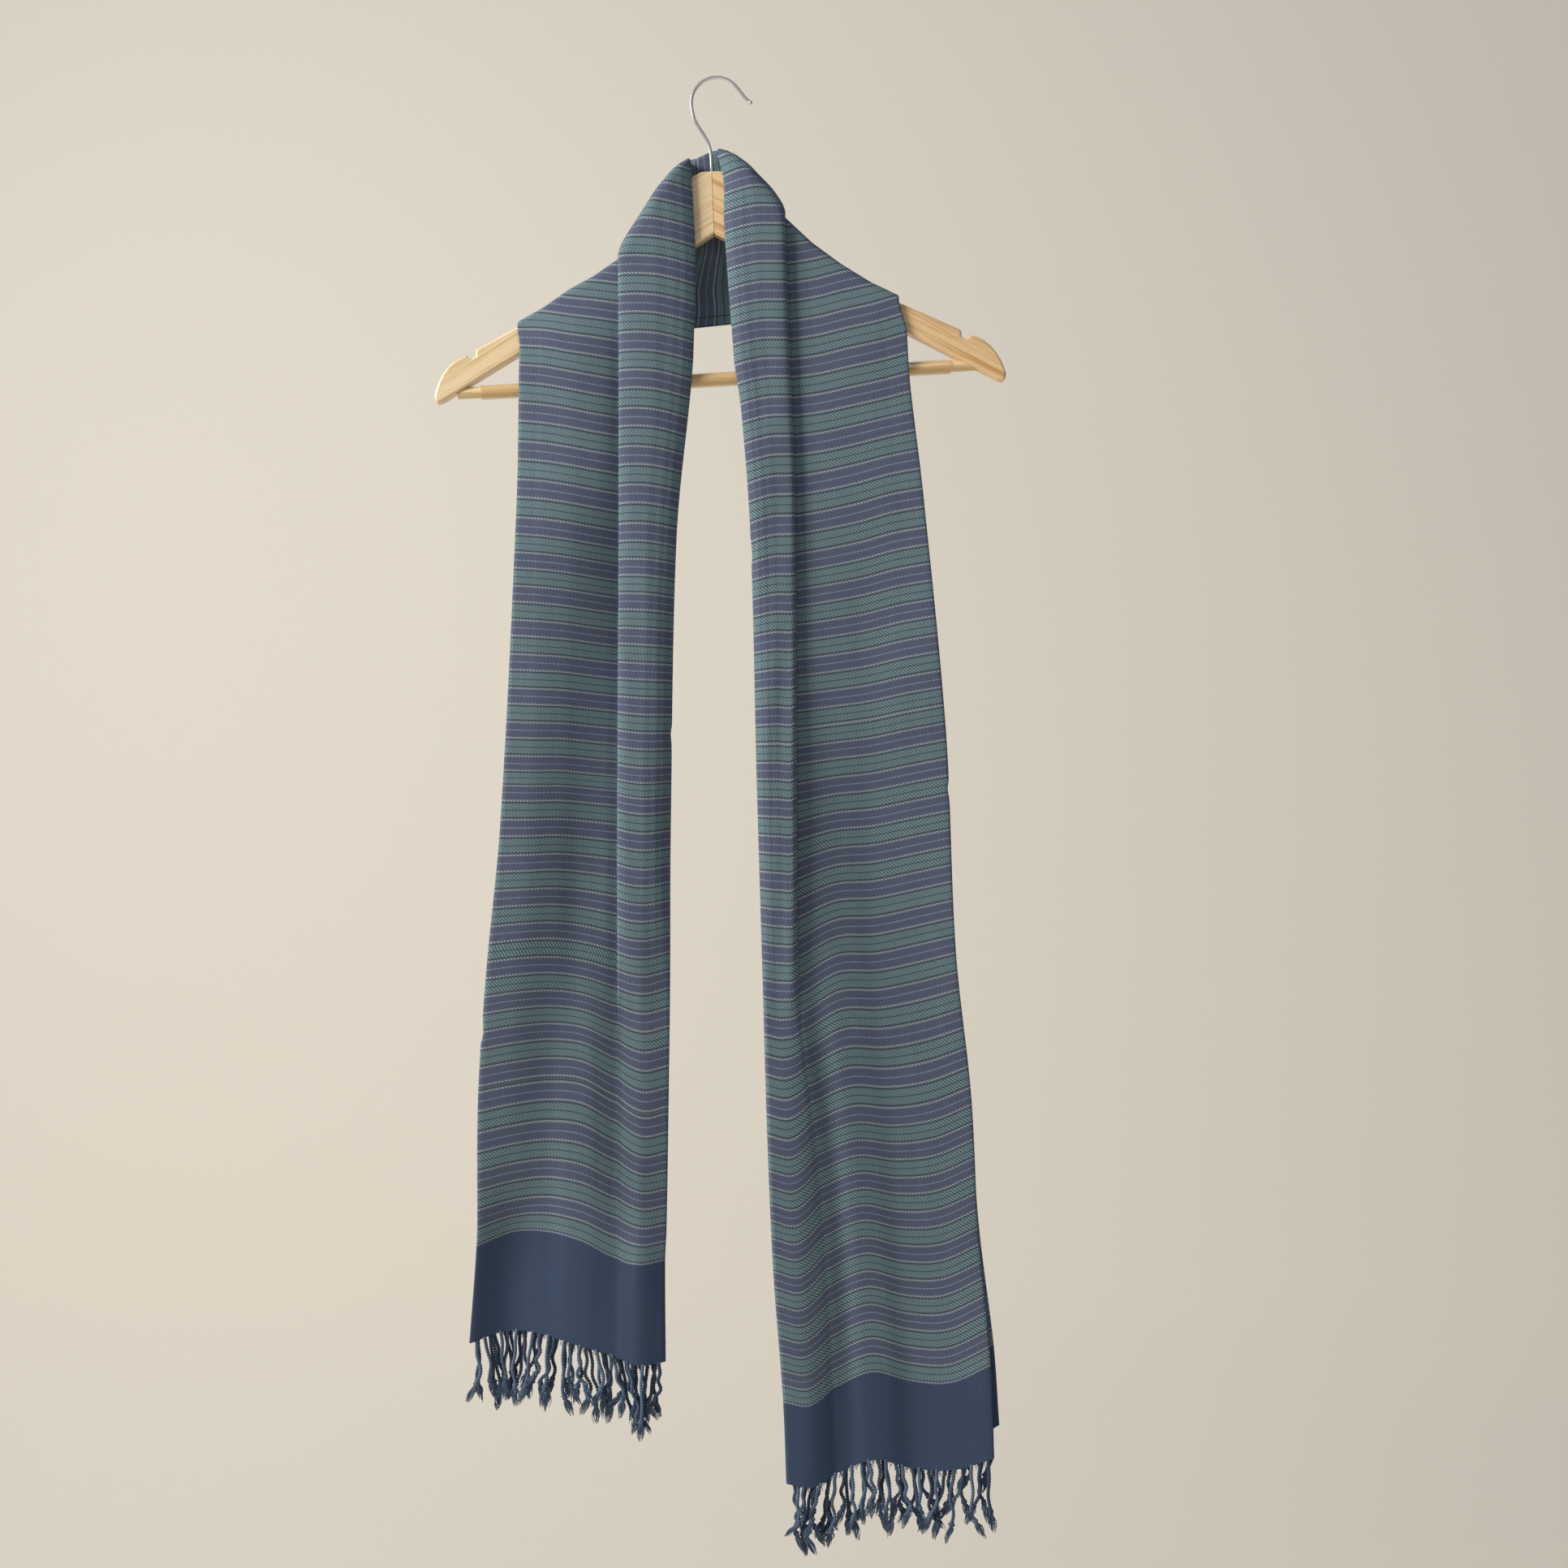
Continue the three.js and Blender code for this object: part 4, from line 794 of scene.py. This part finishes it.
left_roots = hem_roots(left_end[-1], left_level[-1], left_place[-1])
right_roots = hem_roots(right_end[-1], right_level[-1], right_place[-1])
print("strands:", len(left_roots), len(right_roots))

# %% Cords, knots and tufts as arrays
CORD_RINGS, PLY_SIDES = 44, 5
CORD_RADIUS, PLY_RADIUS = 0.82, 0.88
TWIST_PITCH = 4.2
KNOT = {"centre": 0.93, "spread": 0.035, "grows": 1.1, "fattens": 0.5}
ROOT_DEPTH = 1.2  # how far a strand starts inside the hem
# How a strand hangs, in mm: its sway with its neighbours, its own lean, its wriggle and its tip's curl aside.
STRAND_SWAY, SWAY_WAVE, STRAND_LEAN, LEAN_OUT = 5, 17, 9, 1.5
WRIGGLE, WRIGGLE_OUT, WRIGGLE_TURNS, TIP_CURL, CURL_FROM = 2.3, 0.9, (1.2, 2.5), 18, 0.55
TUFT_HAIRS, HAIR_RINGS, HAIR_SIDES, HAIR_RADIUS = 32, 6, 3, 0.48
TUFT_LENGTH, TUFT_SPREAD, TUFT_CURL, TUFT_FLATNESS = 12, 4.6, 0.8, 0.55
STUBS, STUB_LENGTH, STUB_RADIUS, STUB_GAP = 150, (3, 7), 0.32, 25


def strand_lines(roots, seed, rings):
    """The strands' middle lines, strands x rings x 3: straight down with a sway and a springy wriggle."""
    number = np.arange(len(roots)) + seed
    size, lean, phase, loose, turns, out, curl = (
        scatter(number + draw)[:, None] for draw in (0, 50, 90, 130, 170, 210, 240)
    )
    length = mix(*STRAND_LENGTH, size) - TUFT_LENGTH
    t = np.linspace(0, 1, rings)[None, :]
    sway = STRAND_SWAY * np.sin(roots[:, :1] / SWAY_WAVE) + STRAND_LEAN * (lean - 0.5)
    angle = 2 * np.pi * (mix(*WRIGGLE_TURNS, turns) * t + phase)
    x = roots[:, :1] + sway * t * (1.4 - 0.5 * t) + WRIGGLE * (0.3 + loose) * t * np.sin(angle)
    x = x + TIP_CURL * (curl - 0.5) * clamp(t - CURL_FROM)
    y = roots[:, 1:2] + WRIGGLE_OUT * t * np.cos(angle) + LEAN_OUT * (out - 0.6) * t
    z = roots[:, 2:3] + ROOT_DEPTH - (length + ROOT_DEPTH) * t
    return np.stack([x, y, z], axis=-1)


def normalised(vectors):
    """The same directions with length 1."""
    return vectors / np.linalg.norm(vectors, axis=-1, keepdims=True)


def across_axes(lines):
    """Two unit directions across each line, rings along: one level, one square to both."""
    along = normalised(np.gradient(lines, axis=1))
    side = normalised(np.cross(along, [0.0, 1.0, 0.0]))
    return side, np.cross(side, along)


def tube_points(lines, radius, sides):
    """Rings of points round each line: ... x rings x sides x 3."""
    side, other = across_axes(lines)
    angle = 2 * np.pi * np.arange(sides) / sides
    ring = np.cos(angle)[:, None] * side[:, :, None] + np.sin(angle)[:, None] * other[:, :, None]
    return lines[:, :, None] + np.asarray(radius)[..., None, None] * ring


def twisted_cords(roots, seed):
    """Both plies of every cord, with its knot: (strands * 2) x rings x sides x 3."""
    lines = strand_lines(roots, seed, CORD_RINGS)
    side, other = across_axes(lines)
    t = np.linspace(0, 1, CORD_RINGS)
    knot = np.exp(-(((t - KNOT["centre"]) / KNOT["spread"]) ** 2))
    reach = CORD_RADIUS * (1 + KNOT["grows"] * knot) * clamp(t * 12 + 0.5)
    length = np.linalg.norm(np.diff(lines, axis=1), axis=-1).sum(axis=1)
    turn = 2 * np.pi * length[:, None] / TWIST_PITCH * t + 7 * scatter(np.arange(len(roots)) + seed)[:, None]
    swing = np.cos(turn)[..., None] * side + np.sin(turn)[..., None] * other
    plies = np.concatenate([lines + reach[:, None] * swing, lines - reach[:, None] * swing])
    radius = np.broadcast_to(PLY_RADIUS * (1 + KNOT["fattens"] * knot), plies.shape[:2])
    return tube_points(plies, radius, PLY_SIDES), lines


def tufts(lines, seed):
    """Loose threads below each knot: (strands * hairs) x rings x sides x 3. They spread, then droop."""
    heading = normalised(lines[:, -3] - lines[:, -6])
    start, heading = (np.repeat(each, TUFT_HAIRS, axis=0)[:, None] for each in (lines[:, -3], heading))
    number = np.arange(len(start)) + seed * 7
    size, turn, wide, phase = (scatter(number + draw)[:, None, None] for draw in (0, 31, 57, 83))
    t = np.linspace(0, 1, HAIR_RINGS)[None, :, None]
    angle = 2 * np.pi * turn
    outward = np.concatenate([np.cos(angle), TUFT_FLATNESS * np.sin(angle), 0 * angle], axis=-1)
    belly = np.sin(np.pi * (0.15 + 0.7 * t)) - np.sin(np.pi * 0.15)
    hairs = start + heading * TUFT_LENGTH * mix(0.5, 1.3, size) * t
    hairs = hairs + outward * TUFT_SPREAD * wide**0.6 * (belly + 0.35 * t)
    hairs = hairs + TUFT_CURL * np.sin(5 * t + 9 * phase) * t * outward[..., [1, 0, 2]]
    thickness = HAIR_RADIUS * (1.15 - 0.75 * t[0, :, 0])
    return tube_points(hairs, np.broadcast_to(thickness, hairs.shape[:2]), HAIR_SIDES)


def stubs(roots, seed):
    """Short frayed ends between the cords, stubs x rings x sides x 3: they soften the line of the hem."""
    number = np.arange(STUBS) + 900 + seed
    at = scatter(number) * (len(roots) - 1.001)
    low = at.astype(int)
    near = np.linalg.norm(roots[low + 1] - roots[low], axis=-1, keepdims=True) < STUB_GAP
    start = np.where(near, mix(roots[low], roots[low + 1], (at - low)[:, None]), roots[low]) + [0, 0, 1.0]
    t = np.linspace(0, 1, HAIR_RINGS)[None, :, None]
    lean = np.stack([scatter(number + 11) - 0.5, scatter(number + 23) - 0.5, np.full(STUBS, -0.9)], axis=-1)
    length = mix(*STUB_LENGTH, scatter(number + 37))[:, None, None]
    hairs = start[:, None] + lean[:, None] * length * t
    return tube_points(hairs, np.full(hairs.shape[:2], STUB_RADIUS), HAIR_SIDES)


def tube_faces(first, tubes, rings, sides):
    """The walls and both end caps of many tubes whose points follow each other from the first number on."""
    ring = np.arange(sides)
    shapes = grid_quads(rings, sides, closed=True), ring[None, ::-1], ring[None] + (rings - 1) * sides
    starts = first + np.arange(tubes)[:, None, None] * rings * sides
    return [face for shape in shapes for face in (starts + shape).reshape(-1, shape.shape[-1]).tolist()]


def fringe_piece(name, roots, seed, node):
    """One fringe: all its cords, then all its tufts and stubs, in one mesh."""
    cords, lines = twisted_cords(roots, seed)
    hairs = np.concatenate([tufts(lines, seed), stubs(roots, seed)])
    points = np.concatenate([cords.reshape(-1, 3), hairs.reshape(-1, 3)])
    faces = tube_faces(0, len(cords), CORD_RINGS, PLY_SIDES)
    faces += tube_faces(cords.size // 3, len(hairs), HAIR_RINGS, HAIR_SIDES)
    piece = mesh_piece(name, points, faces, fringe_yarn)
    shade = scatter(np.arange(len(roots)) + 300)
    hair_shade = np.append(np.repeat(clamp(shade * 0.6 + 0.5), TUFT_HAIRS), np.full(STUBS, 0.4))
    cord_shade = np.repeat(np.tile(shade, 2), CORD_RINGS * PLY_SIDES)
    hair_shade = np.repeat(hair_shade, HAIR_RINGS * HAIR_SIDES)
    point_attribute(piece.data, "strand_shade", np.concatenate([cord_shade, hair_shade]))
    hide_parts(node)
    print(name, len(cords), "plies,", len(hairs), "loose threads,", len(piece.data.polygons), "faces")
    return piece


left_fringe = fringe_piece("fringe_cords_left", left_roots, 0, "fringe_left")
right_fringe = fringe_piece("fringe_cords_right", right_roots, 200, "fringe_right")

# %% [markdown]
# ## The hanger
#
# Two pale birch boards, 12 mm thick, are mitred at the neck. Their edges were eased with a router, and a
# satin lacquer lets the grain show. The CAD arms have the right outline and only need wood: the material
# reads Object coordinates, turned so that the grain runs along each arm.

# %% Lacquered wood
BAND_CELLS, PORE_CELLS = (8, 260, 380), (60, 1500, 1500)  # noise cells in a metre: along the grain, then across


def wood_material(name, light, dark, slope):
    """Straight-grained wood for an arm that slopes down by so many degrees."""
    material, add, shader = new_material(name, Roughness=0.42, Coat_Weight=0.25, Coat_Roughness=0.25)
    where = add("TexCoord").outputs["Object"]
    along = add("Mapping", Vector=where, Rotation=(0, math.radians(slope), 0))
    bands = drawn_out_noise(add, along, BAND_CELLS, 4.0, Distortion=0.6)
    pores = drawn_out_noise(add, along, PORE_CELLS, 3.0)
    mixed = add("MULTIPLY_ADD", pores, 0.35, add("MULTIPLY", bands, 0.75))
    colour = add("ValToRGB", mixed, stops=[(0.4, dark), (0.57, light), (0.75, light)])
    feed(shader.inputs["Base Color"], colour)
    feed(shader.inputs["Normal"], add("Bump", Strength=0.25, Distance=0.1 * MM, Height=pores))
    return material


finishes = {
    "hanger_arm_left": wood_material("lacquered_birch_pale", "f8e0b6", "dfbd87", 32),
    "hanger_arm_right": wood_material("lacquered_birch_warm", "f7d4a2", "d6a666", -27),
    "hanger_bar": wood_material("birch_dowel", "f6dcae", "e0b77c", 0),
}
print("wood on", ", ".join(finishes))

# %% Clear sleeve and polished steel
gloss = {"Roughness": 0.12, "IOR": 1.5, "Coat_Weight": 0.6, "Coat_Roughness": 0.05}
finishes["bar_sleeve"], *_ = new_material("clear_vinyl_sleeve", Base_Color="f0cf98", Alpha=0.28, **gloss)
finishes["hook"], *_ = new_material("polished_steel_wire", Base_Color="e6e6e3", Metallic=1.0, Roughness=0.36)
for node, material in finishes.items():
    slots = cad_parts[node].data.materials
    slots.clear()
    slots.append(material)
print("finished:", len(finishes), "nodes")

# %% [markdown]
# ## Stage, light and camera
#
# A pale floor that curves up into a cream wall stands well behind the part, so that its back can be seen
# too. One large soft light from the upper left gives the folds their shade, and the world fills the rest.

# %% Stage
FLOOR_HEIGHT, WALL_TOP, WALL_DISTANCE, WALL_REACH, FLOOR_FRONT, COVE_RADIUS = -2100, 2200, 2500, 3400, -3500, 500
matt_wall, *_ = new_material(
    "matt_cream_plaster", Roughness=0.95, Emission_Strength=0.175, Emission_Color="ece9e2", Base_Color="e8e2d6"
)
bend = np.pi / 2 * np.linspace(0, 1, 9)
sweep_x = np.linspace(-WALL_REACH, WALL_REACH, 9)
sweep_y = np.array([FLOOR_FRONT, 0, *(WALL_DISTANCE - COVE_RADIUS * (1 - np.sin(bend))), WALL_DISTANCE])
sweep_z = np.array([0, 0, *(COVE_RADIUS * (1 - np.cos(bend))), WALL_TOP - FLOOR_HEIGHT]) + FLOOR_HEIGHT
sweep_points = np.stack(np.broadcast_arrays(sweep_x, sweep_y[:, None], sweep_z[:, None]), axis=-1)
sweep_faces = grid_quads(len(sweep_y), len(sweep_x))[:, ::-1]
sweep = mesh_object("floor_and_wall", sweep_points.reshape(-1, 3), sweep_faces, matt_wall)

world = bpy.data.worlds.new("pale_studio")
bpy.context.scene.world = world
world.use_nodes = True
background = world.node_tree.nodes["Background"]
feed(background.inputs["Color"], "dfe0e4")
# The world lights the part weakly, but where it is seen itself it is as pale as the wall.
is_seen = add_node(world.node_tree, "LightPath").outputs["Is Camera Ray"]
feed(background.inputs["Strength"], add_node(world.node_tree, "MULTIPLY_ADD", is_seen, 0.55, 0.23))
bpy.context.scene.view_settings.view_transform = "Standard"


def soft_light(name, place, target, size, power, colour):
    """A square area light at place, in metres, that points at target."""
    data = bpy.data.lights.new(name, "AREA")
    data.size, data.energy, data.color = size, power, linear_colour(colour)[:3]
    light = new_object(name, data)
    light.location = place
    x, y, z = np.array(place) - np.array(target)
    light.rotation_euler = (math.atan2(math.hypot(x, y), z), 0, math.atan2(x, -y))


soft_light("window", (-2.45, -1.15, 0.9), (0, 0, -0.4), 1.0, 108, "fffaf2")
soft_light("card_in_front", (0.4, -2.0, 1.5), (0, 0, -0.3), 0.6, 5, "ffffff")

# %% Camera
FRAME_WIDTH_AT_OBJECT = 1.2249
CAMERA_X, CAMERA_DISTANCE, CAMERA_Z = 0.05135, 1.5, -0.5506
camera_data = bpy.data.cameras.new("camera")
camera_data.sensor_width = 36
camera_data.lens = camera_data.sensor_width * CAMERA_DISTANCE / FRAME_WIDTH_AT_OBJECT
camera = new_object("camera", camera_data)
camera.location = (CAMERA_X, -CAMERA_DISTANCE, CAMERA_Z)
camera.rotation_euler = (math.pi / 2, 0, 0)
bpy.context.scene.camera = camera
print("lens:", round(camera_data.lens, 2), "mm")
